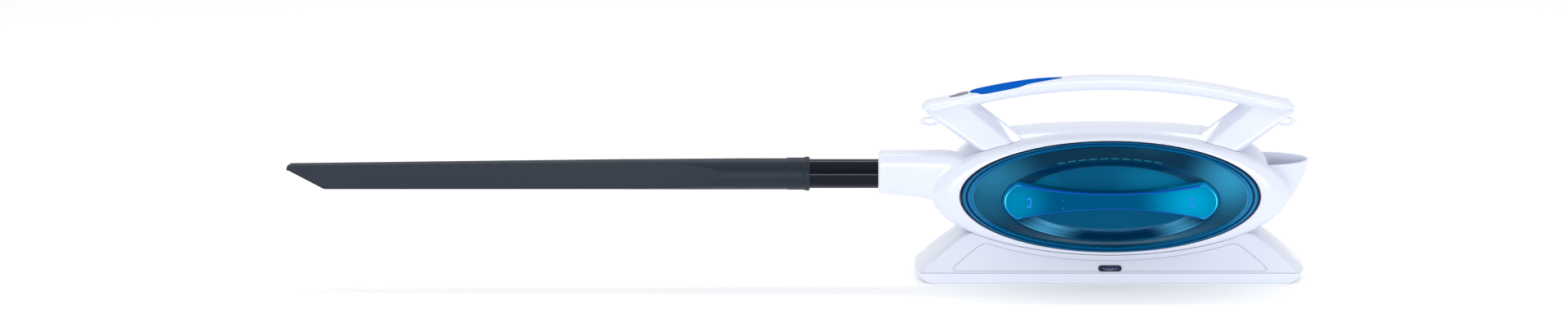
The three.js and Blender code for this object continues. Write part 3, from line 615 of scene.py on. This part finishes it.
# ---- Strap eyes ----
# Flat rings of the handle's ABS with rounded edges, one beside the top of each leg.
for side, x in ((-1, -213.0), (1, 209.0)):
    label = "left" if side < 0 else "right"
    rings = []
    for turn in np.linspace(0, 2 * np.pi, 72, endpoint=False):
        out = np.array((math.cos(turn), 0, math.sin(turn)))
        middle = np.array((x, HANDLE_Y, 186)) + out * (9.6, 0, 4.1)
        rings.append(oval(middle, out * (3.0, 0, 1.4), (0, 2.4, 0), 3.4, 24))
    eye = skin(f"strap_eye_{label}_skin", rings, closed=True)
    place(paint(eye, white_abs), "housing", "white_casing", f"strap_eye_{label}")


# ---- Dust cover ----
# See-through teal polycarbonate, moulded in one piece: beads round its rim, a conical band that rises
# to a rounded edge, and a dished middle. It is pushed into the front casing against its gasket.
ANY_DEPTH = 99


def tinted_clear(name, tint, shades, clear, painted_highlights=(), gloss=0.12):
    """Tinted clear plastic: partly its own dyed body and gloss, partly a view of what lies behind.

    Each painted highlight, in mm, is a soft patch where the body's colour is painted towards its last
    shade, standing for reflected light and light seen through the plastic: (x, z), (reach, rise) and how
    strongly.
    """
    material = new_material(name)
    place_node = add_node(material, "ShaderNodeTexCoord")
    solid = add_node(
        material, "ShaderNodeBsdfPrincipled",
        {"Base Color": colour(shades[0]), "Roughness": 0.04, "IOR": 1.58, "Specular IOR Level": gloss},
    )
    total = None
    for (x, z), (reach, rise), strength in painted_highlights:
        near = add_node(
            material, "ShaderNodeMapping",
            {
                "vector_type": "TEXTURE",
                "Location": (x * MM, 0, z * MM),
                "Scale": (reach * MM, ANY_DEPTH, rise * MM),
            },
            {"Vector": place_node.outputs["Object"]},
        )
        away = add_node(material, "ShaderNodeVectorMath", {"operation": "LENGTH"}, {0: near.outputs[0]})
        spot = add_node(
            material, "ShaderNodeMapRange",
            {"interpolation_type": "SMOOTHSTEP", "To Min": strength, "To Max": 0.0},
            {"Value": away.outputs["Value"]},
        )
        if total is not None:
            spot = add_node(
                material, "ShaderNodeMath", {"operation": "ADD"}, {0: total, 1: spot.outputs[0]},
            )
        total = spot.outputs[0]
    # Painted highlights: where the patches lie, the body's colour is painted towards its last shade.
    if total is not None:
        painted_light_tone = add_node(material, "ShaderNodeMix", {"data_type": "RGBA"}, {"Factor": total})
        painted_light_tone.inputs[6].default_value = colour(shades[0])
        painted_light_tone.inputs[7].default_value = colour(shades[-1])
        material.node_tree.links.new(painted_light_tone.outputs[2], solid.inputs["Base Color"])
    see_through = add_node(material, "ShaderNodeBsdfTransparent", {"Color": colour(tint)})
    both = add_node(
        material, "ShaderNodeMixShader", {"Fac": clear},
        {1: solid.outputs[0], 2: see_through.outputs[0]},
    )
    return finish_material(material, both)


# Band: the brighter patches on its sides and top are painted highlights.
band_clear = tinted_clear(
    "teal_polycarbonate_band", "#10b8e0", ("#00405c", "#40b8e4"), 0.42,
    [
        ((-139, 134), (76, 36), 0.5), ((-150, 100), (60, 44), 0.26), ((144, 132), (66, 44), 0.95),
        ((150, 96), (60, 36), 0.26), ((90, 56), (110, 28), 0.24), ((-70, 50), (120, 24), 0.12),
        ((60, 165), (60, 12), 0.12),
    ],
    gloss=0.06,
)
# Dish wall: the two bright crescents low down are painted reflections of the lamps, with fainter painted
# highlights above.
wall_clear = tinted_clear(
    "teal_polycarbonate_wall", "#10b8e0", ("#003c60", "#60c8f0"), 0.3,
    [
        ((-74, 71), (52, 19), 0.95), ((80, 72), (40, 18), 0.8), ((100, 132), (60, 20), 0.14),
        ((-104, 128), (40, 16), 0.1),
    ],
    gloss=0.05,
)
# Lens: its brighter right side and a fainter patch on the left are painted highlights.
lens_clear = tinted_clear(
    "teal_polycarbonate_lens", "#00a8d8", ("#00648e", "#0cb0dc"), 0.3,
    [((56, 126), (70, 36), 0.32), ((-80, 122), (36, 26), 0.2)],
    gloss=0.04,
)
# Rim beads: painted brighter towards both sides, as painted highlights.
rim_clear = tinted_clear(
    "teal_polycarbonate_rim", "#0098d8", ("#066ea4", "#38a8dc"), 0.2,
    [((170, 104), (60, 60), 0.35), ((-170, 104), (40, 50), 0.15)],
)
# The groove between the rim beads and the cover's outer edge in its gap are painted dark: painted shade.
rim_valley_shade = tinted_clear("teal_polycarbonate_rim_painted_shade", "#0080c0", ("#022c50",), 0.3)
tooth_teal = tinted_clear("teal_polycarbonate_teeth", "#10b8e0", ("#127898",), 0.2)
# A thin line on the last rim bead, painted brighter: a painted highlight.
rim_highlight_line = tinted_clear(
    "teal_polycarbonate_rim_highlight_line", "#40b0e0", ("#1470b0", "#58b8e4"), 0.2,
    [((150, 104), (90, 70), 0.5), ((-160, 104), (50, 40), 0.3)],
)
COVER_OUTSIDE = [
    (66.6, -49.7), (66.6, -64.2), (66.4, -65.5), (65.8, -66.2), (65.0, -66.3), (64.4, -65.6),
    (64.0, -65.0), (63.5, -65.6), (62.9, -66.4), (62.2, -66.2), (61.8, -65.6), (61.5, -65.9),
    (61.1, -66.5),
    (60.2, -68.0), (57.6, -72.6), (54.6, -78.2), (52.0, -83.4), (50.6, -86.0), (49.7, -87.4),
    (48.6, -88.0), (47.6, -87.6), (46.8, -86.2), (45.2, -82.6), (43.4, -79.6), (41.6, -77.8),
    (39.4, -77.2), (30, -77.1), (0, -77.0),
]
COVER_INSIDE = [
    (0, -74.6), (38.6, -74.7), (41.4, -76.4), (43.2, -79.4), (44.9, -83.2), (46.8, -85.0),
    (48.8, -84.6), (50.4, -82.0), (53.0, -76.8), (56.4, -70.2), (59.0, -65.6), (61.2, -63.4),
    (64.1, -62.8), (64.1, -49.7),
]
COVER_POINTS = 256
cover = turned("dust_cover_skin", COVER_OUTSIDE + COVER_INSIDE, OVAL, COVER_POINTS, crease=50)
paint(cover, band_clear, rim_clear, wall_clear, lens_clear, rim_valley_shade, rim_highlight_line, tooth_teal)
BAND, RIM, WALL_FACE, LENS, VALLEY, LINE, TOOTH = range(7)
for face in cover.data.polygons:
    radius = math.hypot(face.center.x / OVAL, face.center.z - AXIS_Z * MM) / MM
    if radius > 66.0 or 63.7 < radius < 64.4:
        face.material_index = VALLEY
    elif radius > 61.6:
        face.material_index = RIM
    elif radius > 61.15:
        face.material_index = LINE
    elif radius < 39.4:
        face.material_index = LENS
    elif radius < 48.6:
        face.material_index = WALL_FACE
    else:
        face.material_index = BAND
    turn = math.atan2(face.center.z - AXIS_Z * MM, face.center.x / OVAL)
    on_top = abs(turn - math.pi / 2) < 0.5 and face.center.y < -84 * MM
    if on_top and 49.7 < radius < 51.2 and int(turn / (2 * math.pi) * COVER_POINTS) % 4 != 0:
        face.material_index = TOOTH
place(cover, "cover", "teal_cover", "dust_cover")

# ---- Grip on the dust cover ----
# A bow tie of the same plastic, clipped across the dished middle. Its cut edges are painted bright blue,
# and cyan at the two ends: painted highlights standing for light piped along the edges.
# The grip's body is painted brighter towards its right end, and less so towards its left: painted
# highlights.
grip_clear = tinted_clear(
    "grip_polycarbonate", "#0098cc", ("#005a88", "#00b4e4"), 0.25,
    [((96, 104), (70, 60), 0.85), ((-112, 104), (50, 50), 0.5)],
    gloss=0.0,
)
# Painted highlights for the grip's edges, its clips and its ejector marks: brighter base colours, with no
# emission.
edge_highlight_blue = tinted_clear("painted_edge_highlight_blue", "#1f6cff", ("#0a5cc4",), 0.1)
edge_highlight_cyan = tinted_clear(
    "painted_edge_highlight_cyan", "#30e0ff", ("#1c8fe0", "#5cf0ff"), 0.1,
    [((-126, 108), (20, 16), 1.0), ((126, 106), (20, 18), 1.0)],
)
clip_highlight_blue = tinted_clear("painted_edge_highlight_clip", "#30a0ff", ("#1c86e4",), 0.1)
GRIP_LENGTH, GRIP_ROUND = 128.0, 17.0
GRIP_END, GRIP_WAIST = 23.0, 9.3
GRIP_FRONT, GRIP_BACK = -97.0, -77.6


def bow_tie(at_ends, at_waist, points=40):
    """The grip's outline from its axis in mm, waisted along its edges, each part drawn in a little."""
    shoulder = GRIP_LENGTH - GRIP_ROUND
    outline = []
    for way in (1, -1):
        for s in np.linspace(-1, 1, points, endpoint=False):
            share = abs(s) ** 2.1
            high = GRIP_WAIST - at_waist + (GRIP_END - at_ends - GRIP_WAIST + at_waist) * share
            outline.append((way * s * shoulder, way * high))
        for s in np.linspace(1, -1, points, endpoint=False):
            across = (GRIP_ROUND - at_ends) * (1 - abs(s) ** 2.2)
            outline.append((way * (shoulder + across), way * (GRIP_END - at_ends) * s))
    return outline


rings = []
for depth, at_ends, at_waist in (
    (GRIP_BACK, -0.2, -0.6), (-88.4, -0.2, -0.6), (-89.6, 0.2, -0.5), (-92.5, 1.2, -0.3),
    (-95.4, 2.2, 0), (-96.5, 2.8, 0.3), (GRIP_FRONT, 3.6, 1.0),
):
    rings.append([(x, depth, AXIS_Z + z) for x, z in bow_tie(at_ends, at_waist)])
grip = skin("cover_grip_skin", rings, crease=50)
seat_outline = [(r, y - 0.35) for r, y in COVER_OUTSIDE] + [(0, -40), (66.6, -40)]
seat = turned("seat", seat_outline, OVAL, COVER_POINTS)
combine(grip, [seat], "DIFFERENCE", crease=50)
scrap(seat)
paint(grip, grip_clear, edge_highlight_blue, edge_highlight_cyan)
for face in grip.data.polygons:
    at_end, depth = abs(face.center.x) > 104 * MM, face.center.y / MM
    if abs(face.normal.y) > 0.8 and depth < -96.8:
        continue
    if not at_end:
        face.material_index = 1 if depth < -92.5 else 0
    elif depth < -95.4:
        face.material_index = 2
    elif -89.7 < depth < -88.3:
        face.material_index = 1
place(grip, "cover", "teal_cover", "cover_grip")
# The clips and ejector marks take the painted highlight blues as well.
for side in (-1, 1):
    clip = skin(
        "clip",
        [oval((side * 97, y, AXIS_Z - 1), (2.8, 0, 0), (0, 0, 6.2), 5, 24) for y in (-97.12, -92)],
    )
    notch = slab("notch", (side * 98.5 - 2.6, -99, AXIS_Z - 4), (side * 98.5 + 2.6, -84, AXIS_Z + 2.4))
    combine(clip, [notch], "DIFFERENCE")
    scrap(notch)
    clip.name = f"grip_clip_{'left' if side < 0 else 'right'}"
    place(paint(clip, clip_highlight_blue), "cover", "teal_cover")
    for z in (AXIS_Z - 7.5, AXIS_Z + 2):
        pin = rod("pin", (side * 56, -97.15, z), (side * 56, -96.5, z), 0.7, 16)
        pin.name = f"ejector_mark_{'left' if side < 0 else 'right'}_{round(z)}"
        place(paint(pin, edge_highlight_cyan), "cover", "teal_cover")

# ---- Filter cage ----
# A toothed collar of pale polypropylene holds the pleated filter in front of the fan. Its teeth show
# faintly through the cover.
pale_pp = moulded_plastic(
    "pale_polypropylene", "#8fb4c0", "#7fa6b4", 0.4, grain_mm=0.8, bump_mm=0.01, **{"IOR": 1.49},
)
CAGE_FRONT, CAGE_BACK = -58.0, -12.3
cage = turned(
    "filter_cage_skin",
    [
        (0, CAGE_FRONT), (30, CAGE_FRONT), (30.6, CAGE_FRONT - 1.2), (32, CAGE_FRONT - 1.2),
        (32.6, CAGE_FRONT), (42, CAGE_FRONT), (42, -54), (44.8, -54),
        (44.8, -51), (42, -51), (42, CAGE_BACK), (40, CAGE_BACK),
        (40, -56), (0, -56),
    ],
    OVAL,
)
CAGE_GAPS = 52
for i in range(CAGE_GAPS):
    turn = 2 * math.pi * (i + 0.5) / CAGE_GAPS
    middle = np.array((44 * OVAL * math.cos(turn), 0, AXIS_Z + 44 * math.sin(turn)))
    gap = skin("gap", [oval(middle + (0, y, 0), (2.6, 0, 0), (0, 0, 1.9), 6, 8) for y in (-56, -49)])
    if abs(math.sin(turn)) > 0.3:
        combine(cage, [gap], "DIFFERENCE")
    scrap(gap)
place(paint(cage, pale_pp), "housing", "dark_plastic", "filter_cage")


# ---- Suction tube ----
# A drawn tube with a deep black gloss lacquer. It turns in the neck's lip seal.
black_lacquer = moulded_plastic(
    "black_lacquer", "#0a0d1a", "#0d101e", 0.1, grain_mm=3, bump_mm=0.0, spread=0.03,
    **{"IOR": 1.5, "Specular IOR Level": 0.16},
)
tube_low, tube_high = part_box("suction_tube")
rings = []
for x, radius in (
    (tube_low.x / MM, TUBE_R - 0.6), (tube_low.x / MM + 0.6, TUBE_R), (tube_high.x / MM - 0.6, TUBE_R),
    (tube_high.x / MM, TUBE_R - 0.6), (tube_high.x / MM, TUBE_R - 1.5), (tube_low.x / MM, TUBE_R - 1.5),
):
    rings.append(oval((x, TUBE_Y, TUBE_Z), (0, radius, 0), (0, 0, radius), 2, 96))
tube = skin("suction_tube_skin", rings, closed=True)
place(paint(tube, black_lacquer), "tube", "black_tube", "suction_tube")


# ---- Crevice nozzle ----
# Slate-grey polypropylene from a spark-eroded mould, so it is dull with a fine grain. A round socket
# is pressed flat into a long duct, which leaves a scallop on each side, and its tip is cut aslant.
slate_pp = moulded_plastic(
    "slate_polypropylene", "#1c2733", "#192430", 0.46,
    grain_mm=1.1, bump_mm=0.03, cloud_mm=140, spread=0.08,
    **{"IOR": 1.49, "Specular IOR Level": 0.25},
)
NOZZLE_STATIONS = [
    (-384.4, 125.4, 18.6, 18.6),
    (-430, 125.4, 18.6, 18.6),
    (-456, 125.3, 18.55, 18.6),
    (-462, 125.3, 18.5, 18.2),
    (-475, 125.2, 18.5, 16.0),
    (-500, 125.1, 18.4, 12.6),
    (-530, 125.0, 18.2, 10.6),
    (-565, 124.9, 18.1, 9.6),
    (-620, 124.7, 17.8, 9.2),
    (-977.5, 122.5, 15.6, 7.2),
]


SHARPNESS = 0.92


def nozzle_form(name, inset, start=None, end=None):
    """The socket pressed flat into the duct, where each side meets the round in a fairly sharp edge."""
    rings = []
    for x, z, high, deep in flowing(NOZZLE_STATIONS, 8):
        turn = np.linspace(0, 2 * np.pi, 128, endpoint=False)
        radius, flat = high - inset, deep - inset
        across = radius * np.cos(turn)
        soft, sharp = flat * np.tanh(across / flat), np.clip(across, -flat, flat)
        y = SHARPNESS * sharp + (1 - SHARPNESS) * soft
        rings.append(np.column_stack([np.full(128, x), TUBE_Y + y, z + radius * np.sin(turn)]))
    if start is not None:
        rings[0][:, 0] = start
    if end is not None:
        rings[-1][:, 0] = end
    return skin(name, rings, crease=25)


nozzle = nozzle_form("crevice_nozzle_skin", 0)
channel = nozzle_form("channel", 2, start=-400, end=-985)
socket = rod("socket", (-412, TUBE_Y, TUBE_Z), (-300, TUBE_Y, TUBE_Z), TUBE_R + 0.25, 96)
SLANT_CUT = [(-975, 130.5), (-1010, 130.5), (-1010, 90), (-929, 90), (-929, 106)]
NOSE_CUT = [(-972.5, 150), (-1010, 150), (-1010, 133.4), (-977.6, 133.4), (-972.5, 137.2)]
slant = skin("slant", [[(x, y, z) for x, z in SLANT_CUT] for y in (-60, 0)])
nose = skin("nose", [[(x, y, z) for x, z in NOSE_CUT] for y in (-60, 0)])
combine(nozzle, [channel, socket, slant, nose], "DIFFERENCE", crease=25)
scrap(channel, socket, slant, nose)
place(paint(nozzle, slate_pp), "nozzle", "slate_nozzle", "crevice_nozzle")

# ---- Nozzle collar ----
# The thicker cuff at the nozzle's mouth, with a rolled rim that stiffens it.
rings = []
for x, radius in (
    (-384.3, 18.5), (-383.5, 19.2), (-363.5, 19.35), (-362.6, 19.5),
    (-362, 20.0), (-361, 20.35), (-358, 20.35), (-356.8, 20.0),
    (-356.2, 19.3), (-356.2, 17.8), (-384.3, 17.8),
):
    rings.append(oval((x, TUBE_Y, TUBE_Z), (0, radius, 0), (0, 0, radius), 2, 96))
collar = skin("nozzle_collar_skin", rings, closed=True)
place(paint(collar, slate_pp), "nozzle", "slate_nozzle", "nozzle_collar")


# ---- Dock ----
# A hollow ABS stand: sloping ends that swell at mid-depth, and a saddle in its top that the drum sits
# in. A shallow tray closes it from below.
DOCK_HEIGHT, DOCK_SEAM, DOCK_HALF = 57.0, 12.6, 223.0
DOCK_FRONT, DOCK_REAR, BULGE = -68.0, 62.0, 8.0


def dock_front(z):
    return DOCK_FRONT + 20 * max(0.0, z - DOCK_SEAM) / (DOCK_HEIGHT - DOCK_SEAM)


def dock_rear(z):
    return DOCK_REAR - 14 * max(0.0, z - DOCK_SEAM) / (DOCK_HEIGHT - DOCK_SEAM)


def dock_form(name, outline, inset=0.0):
    """A loft from front to back through copies of one outline, with its two end edges rounded over."""
    stops = [(0, 1.4), (0.3, 0.7), (0.8, 0.25), (1.6, 0)]
    depths = [*stops, *((d, 0) for d in np.linspace(6, 124, 28)), *((130 - d, s) for d, s in stops[::-1])]
    rings = []
    for depth, shrink in depths:
        share = depth / 130
        swell = 1 + BULGE / DOCK_HALF * (1 - (2 * share - 1) ** 4)
        ring = []
        for x, z in outline(inset + shrink):
            front, rear = dock_front(z) + inset, dock_rear(z) - inset
            ring.append((x * swell, front + share * (rear - front), z))
        rings.append(ring)
    return skin(name, rings, crease=35)


def both_sides(right):
    return [*right, *((-x, z) for x, z in reversed(right))]


SLOPE_RUN, SLOPE_SWELL = 54.0, 2.5


def slope_half(z):
    share = (z - DOCK_SEAM) / (DOCK_HEIGHT - DOCK_SEAM)
    return DOCK_HALF - SLOPE_RUN * share + SLOPE_SWELL * math.sin(math.pi * share)


def shell_outline(inset):
    bottom = DOCK_SEAM + 0.08 - (4 if inset >= WALL else -min(inset, 0.3))
    side = [(slope_half(max(z, DOCK_SEAM)) - inset, z) for z in np.linspace(bottom, DOCK_HEIGHT - 3, 14)]
    reach, top = slope_half(DOCK_HEIGHT) - inset, DOCK_HEIGHT - inset
    return both_sides([*side, (reach - 1.0, top - 0.9), (reach - 3.5, top)])


def tray_outline(inset):
    corner = [
        (DOCK_HALF - 14 + 14 * math.sin(t) - inset, 11.4 - 11.4 * math.cos(t) + inset * 0.6)
        for t in np.linspace(0, math.pi / 2, 12)
    ]
    return both_sides([*corner, (DOCK_HALF - inset, DOCK_SEAM - 0.08)])


saddle = body_form("saddle", 0.5)
saddle_wall = body_form("saddle_wall", 3.3)
dock = dock_form("dock_shell_skin", shell_outline)
dock_room = dock_form("dock_room", shell_outline, WALL)
combine(dock_room, [saddle_wall], "DIFFERENCE")
combine(dock, [dock_room, saddle], "DIFFERENCE")


def stadium(half, high, z, y0, y1, name):
    """A bar with round ends, lying across the dock's front."""
    outline = []
    for way in (1, -1):
        for turn in np.linspace(-np.pi / 2, np.pi / 2, 20):
            outline.append((way * (half - high + high * math.cos(turn)), z + way * high * math.sin(turn)))
    return skin(name, [[(x, y, zz) for x, zz in outline] for y in (y0, y1)])


def panel_outline(grow):
    """A trapezium with rounded corners: low and wide below, narrower above."""
    corners = [(192 + 2.2 * grow, 14.8 - grow), (152 + 2.2 * grow, 47 + grow)]
    corners = [*corners, *((-x, z) for x, z in reversed(corners))]
    outline = []
    for i, corner in enumerate(corners):
        here, before, after = (np.array(c, float) for c in (corner, corners[i - 1], corners[(i + 1) % 4]))
        start = here + (before - here) / np.linalg.norm(before - here) * 12
        end = here + (after - here) / np.linalg.norm(after - here) * 12
        for s in np.linspace(0, 1, 9):
            outline.append(tuple((1 - s) ** 2 * start + 2 * s * (1 - s) * here + s * s * end))
    return outline


def panel_slab(name, grow, front, back):
    outline = panel_outline(grow)
    rings = [[(x, dock_front(z) + d, z) for x, z in outline] for d in (front, back)]
    return skin(name, rings)


BUTTON_HALF, BUTTON_HIGH, BUTTON_Z = 13.7, 3.35, 18.0
above_panel = body_form("above_panel", 6.5)
panel_pocket = panel_slab("panel_pocket", 0, -4, 1.6)
combine(panel_pocket, [above_panel], "DIFFERENCE")
button_hole = stadium(BUTTON_HALF + 0.3, BUTTON_HIGH + 0.3, BUTTON_Z, -90, -50, "button_hole")
jack_hole = slab("jack_hole", (-6.3, 40, 15.7), (6.3, 90, 27.3))
slots = [slab("contact_slot", (x - 3.3, 1.7, 20), (x + 3.3, 8.3, 60)) for x in (-12, 12)]
combine(dock, [panel_pocket, button_hole, jack_hole, *slots], "DIFFERENCE", crease=30)
place(paint(dock, white_abs), "dock", "white_casing", "dock_shell")

# The front panel is a thin ABS plate let into the dock's face, so that only its outline shows.
panel = panel_slab("dock_front_panel_skin", -0.7, 0.05, 1.3)
above_panel_edge = body_form("above_panel_edge", 7.3)
combine(panel, [above_panel_edge, button_hole], "DIFFERENCE", crease=30)
scrap(above_panel, above_panel_edge)
place(paint(panel, white_abs), "dock", "white_casing", "dock_front_panel")

tray = dock_form("dock_tray_skin", tray_outline)


def tray_inside(inset):
    """The tray's outline above its floor, carried on past its open top."""
    return [(x, max(z, WALL) + (6 if z > 12 else 0)) for x, z in tray_outline(inset)]


tray_room = dock_form("tray_room", tray_inside, WALL)
combine(tray, [tray_room], "DIFFERENCE")
for i in range(1, 5):
    pad_low, pad_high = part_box(f"dock_pad_{i}")
    middle = (pad_low + pad_high) / 2 / MM
    recess = rod("recess", (middle.x, middle.y, -2), (middle.x, middle.y, 1.8), 8.3, 48)
    screw_low, screw_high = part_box(f"dock_screw_{i}")
    spot = (screw_low + screw_high) / 2 / MM
    sink = rod("sink", (spot.x, spot.y, -2), (spot.x, spot.y, 2.9), 3.4, 32)
    combine(tray, [recess, sink], "DIFFERENCE", crease=30)
    scrap(recess, sink)
place(paint(tray, white_abs), "dock", "white_casing", "dock_tray")
scrap(saddle, saddle_wall, dock_room, tray_room, panel_pocket, button_hole, jack_hole, *slots)

# ---- Dock button ----
# A dark glossy push button with two raised arcs, sprung from behind. The arcs' pale grey is a painted
# highlight.
smoked_abs = moulded_plastic(
    "smoked_abs", "#2b3650", "#161e38", 0.12, grain_mm=2.0, bump_mm=0.0, cloud_mm=8,
    **{"IOR": 1.54, "Specular IOR Level": 0.15},
)
button = stadium(BUTTON_HALF, BUTTON_HIGH, BUTTON_Z, -66.4, -59.5, "dock_button_skin")
place(paint(button, smoked_abs), "dock_push", "dark_lens", "dock_button")
arc_highlight_grey = moulded_plastic("button_arc_painted_highlight", "#7d8aa8", "#6f7c9c", 0.3, grain_mm=1, bump_mm=0.0)
for name, half in (("button_arc_outer", 8.0), ("button_arc_inner", 4.2)):
    rings = []
    for turn in np.linspace(np.pi * 1.02, np.pi * 1.98, 24):
        out = np.array((math.cos(turn), 0, math.sin(turn)))
        middle = np.array((0, -66.45, BUTTON_Z + 0.6)) + out * (half, 0, 2.0 * half / 8.0 + 0.3)
        rings.append(oval(middle, out * (0.55, 0, 0.28), (0, 0.2, 0), 2, 8))
    place(paint(skin(name, rings), arc_highlight_grey), "dock_push", "dark_lens")

# ---- Inner and small pieces ----
# What stays hidden until the cover or the nozzle comes off keeps its CAD shape: rubber seals and
# pads, the paper filter, zinc-plated screws, the motor, the cells and the boards.
black_nbr = moulded_plastic(
    "black_nbr_rubber", "#26282c", "#1e2023", 0.78, grain_mm=0.7, bump_mm=0.03, **{"IOR": 1.52},
)
filter_paper = moulded_plastic(
    "filter_paper", "#ece9dd", "#dfdbcc", 0.9, grain_mm=0.6, bump_mm=0.06, **{"IOR": 1.45},
)
black_pa = moulded_plastic(
    "black_glass_filled_nylon", "#3c3f44", "#33363a", 0.55, grain_mm=0.6, bump_mm=0.03, **{"IOR": 1.53},
)
zinc_steel = moulded_plastic(
    "zinc_plated_steel", "#c3c5c8", "#aeb2b8", 0.3, grain_mm=0.4, bump_mm=0.005, **{"Metallic": 1.0},
)
spun_aluminium = moulded_plastic(
    "pressed_aluminium", "#d2d4d6", "#c2c5c8", 0.32, grain_mm=0.5, bump_mm=0.01, **{"Metallic": 1.0},
)
copper_winding = moulded_plastic(
    "enamelled_copper", "#b9733c", "#a5622f", 0.35, grain_mm=0.5, bump_mm=0.05, **{"Metallic": 1.0},
)
solder_mask = moulded_plastic(
    "green_solder_mask", "#1f5f3c", "#1a5233", 0.35, grain_mm=1.0, bump_mm=0.01, **{"IOR": 1.5},
)
cell_sleeve = moulded_plastic(
    "blue_shrink_sleeve", "#3f7ecb", "#356fb8", 0.3, grain_mm=1.0, bump_mm=0.02, **{"IOR": 1.5},
)
FINISH_OF_SLOT = {
    "white_casing": white_abs,
    "grey_casing": satin_grey,
    "rubber": black_nbr,
    "filter_paper": filter_paper,
    "dark_plastic": black_pa,
    "steel": zinc_steel,
    "aluminium": spun_aluminium,
    "rotor_metal": copper_winding,
    "board": solder_mask,
    "cell_wrap": cell_sleeve,
    "blue_inlay": blue_pmma,
    "teal_cover": band_clear,
    "slate_nozzle": slate_pp,
    "black_tube": black_lacquer,
    "dark_lens": smoked_abs,
}
for row in frame["record"]["subparts"]:
    paint(frame["nodes"][row["node"]], FINISH_OF_SLOT[row["material_slot"]])

# ---- Studio ----
# A white paper floor in an even white surround. A thin strip hangs overhead, a wide low box stands in
# front, and four fainter boxes stand to the sides. The floor shines a little, to lift the shadows.
floor_paper = new_material("white_paper_floor")
fibre = add_node(floor_paper, "ShaderNodeTexNoise", {"Scale": 300.0})
tone = add_node(floor_paper, "ShaderNodeMix", {"data_type": "RGBA"}, {"Factor": fibre.outputs["Fac"]})
tone.inputs[6].default_value = colour("#fdfdfd")
tone.inputs[7].default_value = colour("#fafafa")
paper = add_node(
    floor_paper, "ShaderNodeBsdfPrincipled",
    {"Roughness": 0.9, "Emission Color": colour("#ffffff"), "Emission Strength": 0.12},
    {"Base Color": tone.outputs[2]},
)
finish_material(floor_paper, paper)
FLOOR_HALF = 30000
floor = slab("floor", (-FLOOR_HALF, -FLOOR_HALF, -20), (FLOOR_HALF, FLOOR_HALF, -0.05))
paint(floor, floor_paper)

# The room behind the camera is dim, so that gloss facing the lens stays deep.
world = bpy.data.worlds.new("studio")
scene.world = world
world.use_nodes = True
surround = world.node_tree.nodes["Background"]
toward = add_node(world, "ShaderNodeTexCoord")
split = add_node(world, "ShaderNodeSeparateXYZ", links={"Vector": toward.outputs["Generated"]})
fade = add_node(
    world, "ShaderNodeMapRange",
    {
        "interpolation_type": "SMOOTHSTEP",
        "From Min": -0.95, "From Max": -0.45, "To Min": 0.42, "To Max": 0.86,
    },
    {"Value": split.outputs["Y"]},
)
world.node_tree.links.new(fade.outputs[0], surround.inputs["Strength"])
surround.inputs["Color"].default_value = colour("#fbfcff")


def soft_box(name, spot, target, width, height, watts):
    light = bpy.data.lights.new(name, "AREA")
    light.shape = "RECTANGLE"
    light.size, light.size_y, light.energy = width, height, watts
    lamp = bpy.data.objects.new(name, light)
    scene.collection.objects.link(lamp)
    lamp.location = spot
    lamp.rotation_euler = (Vector(target) - Vector(spot)).to_track_quat("-Z", "Y").to_euler()


soft_box("low_box", (0, -6.0, 0.39), (0, 0, 0.05), 4.4, 0.8, 92)
soft_box("strip_box", (-0.2, 0.8, 1.43), (-0.2, 0, 0.1), 2.6, 0.08, 9)
for side in (-1, 1):
    soft_box("side_box", (side * 1.9, -0.4, 1.8), (0, 0, 0.1), 2.2, 2.2, 5)
    soft_box("fill_box", (side * 2.0, -5.2, 0.6), (0, 0, 0.1), 1.6, 1.6, 20)
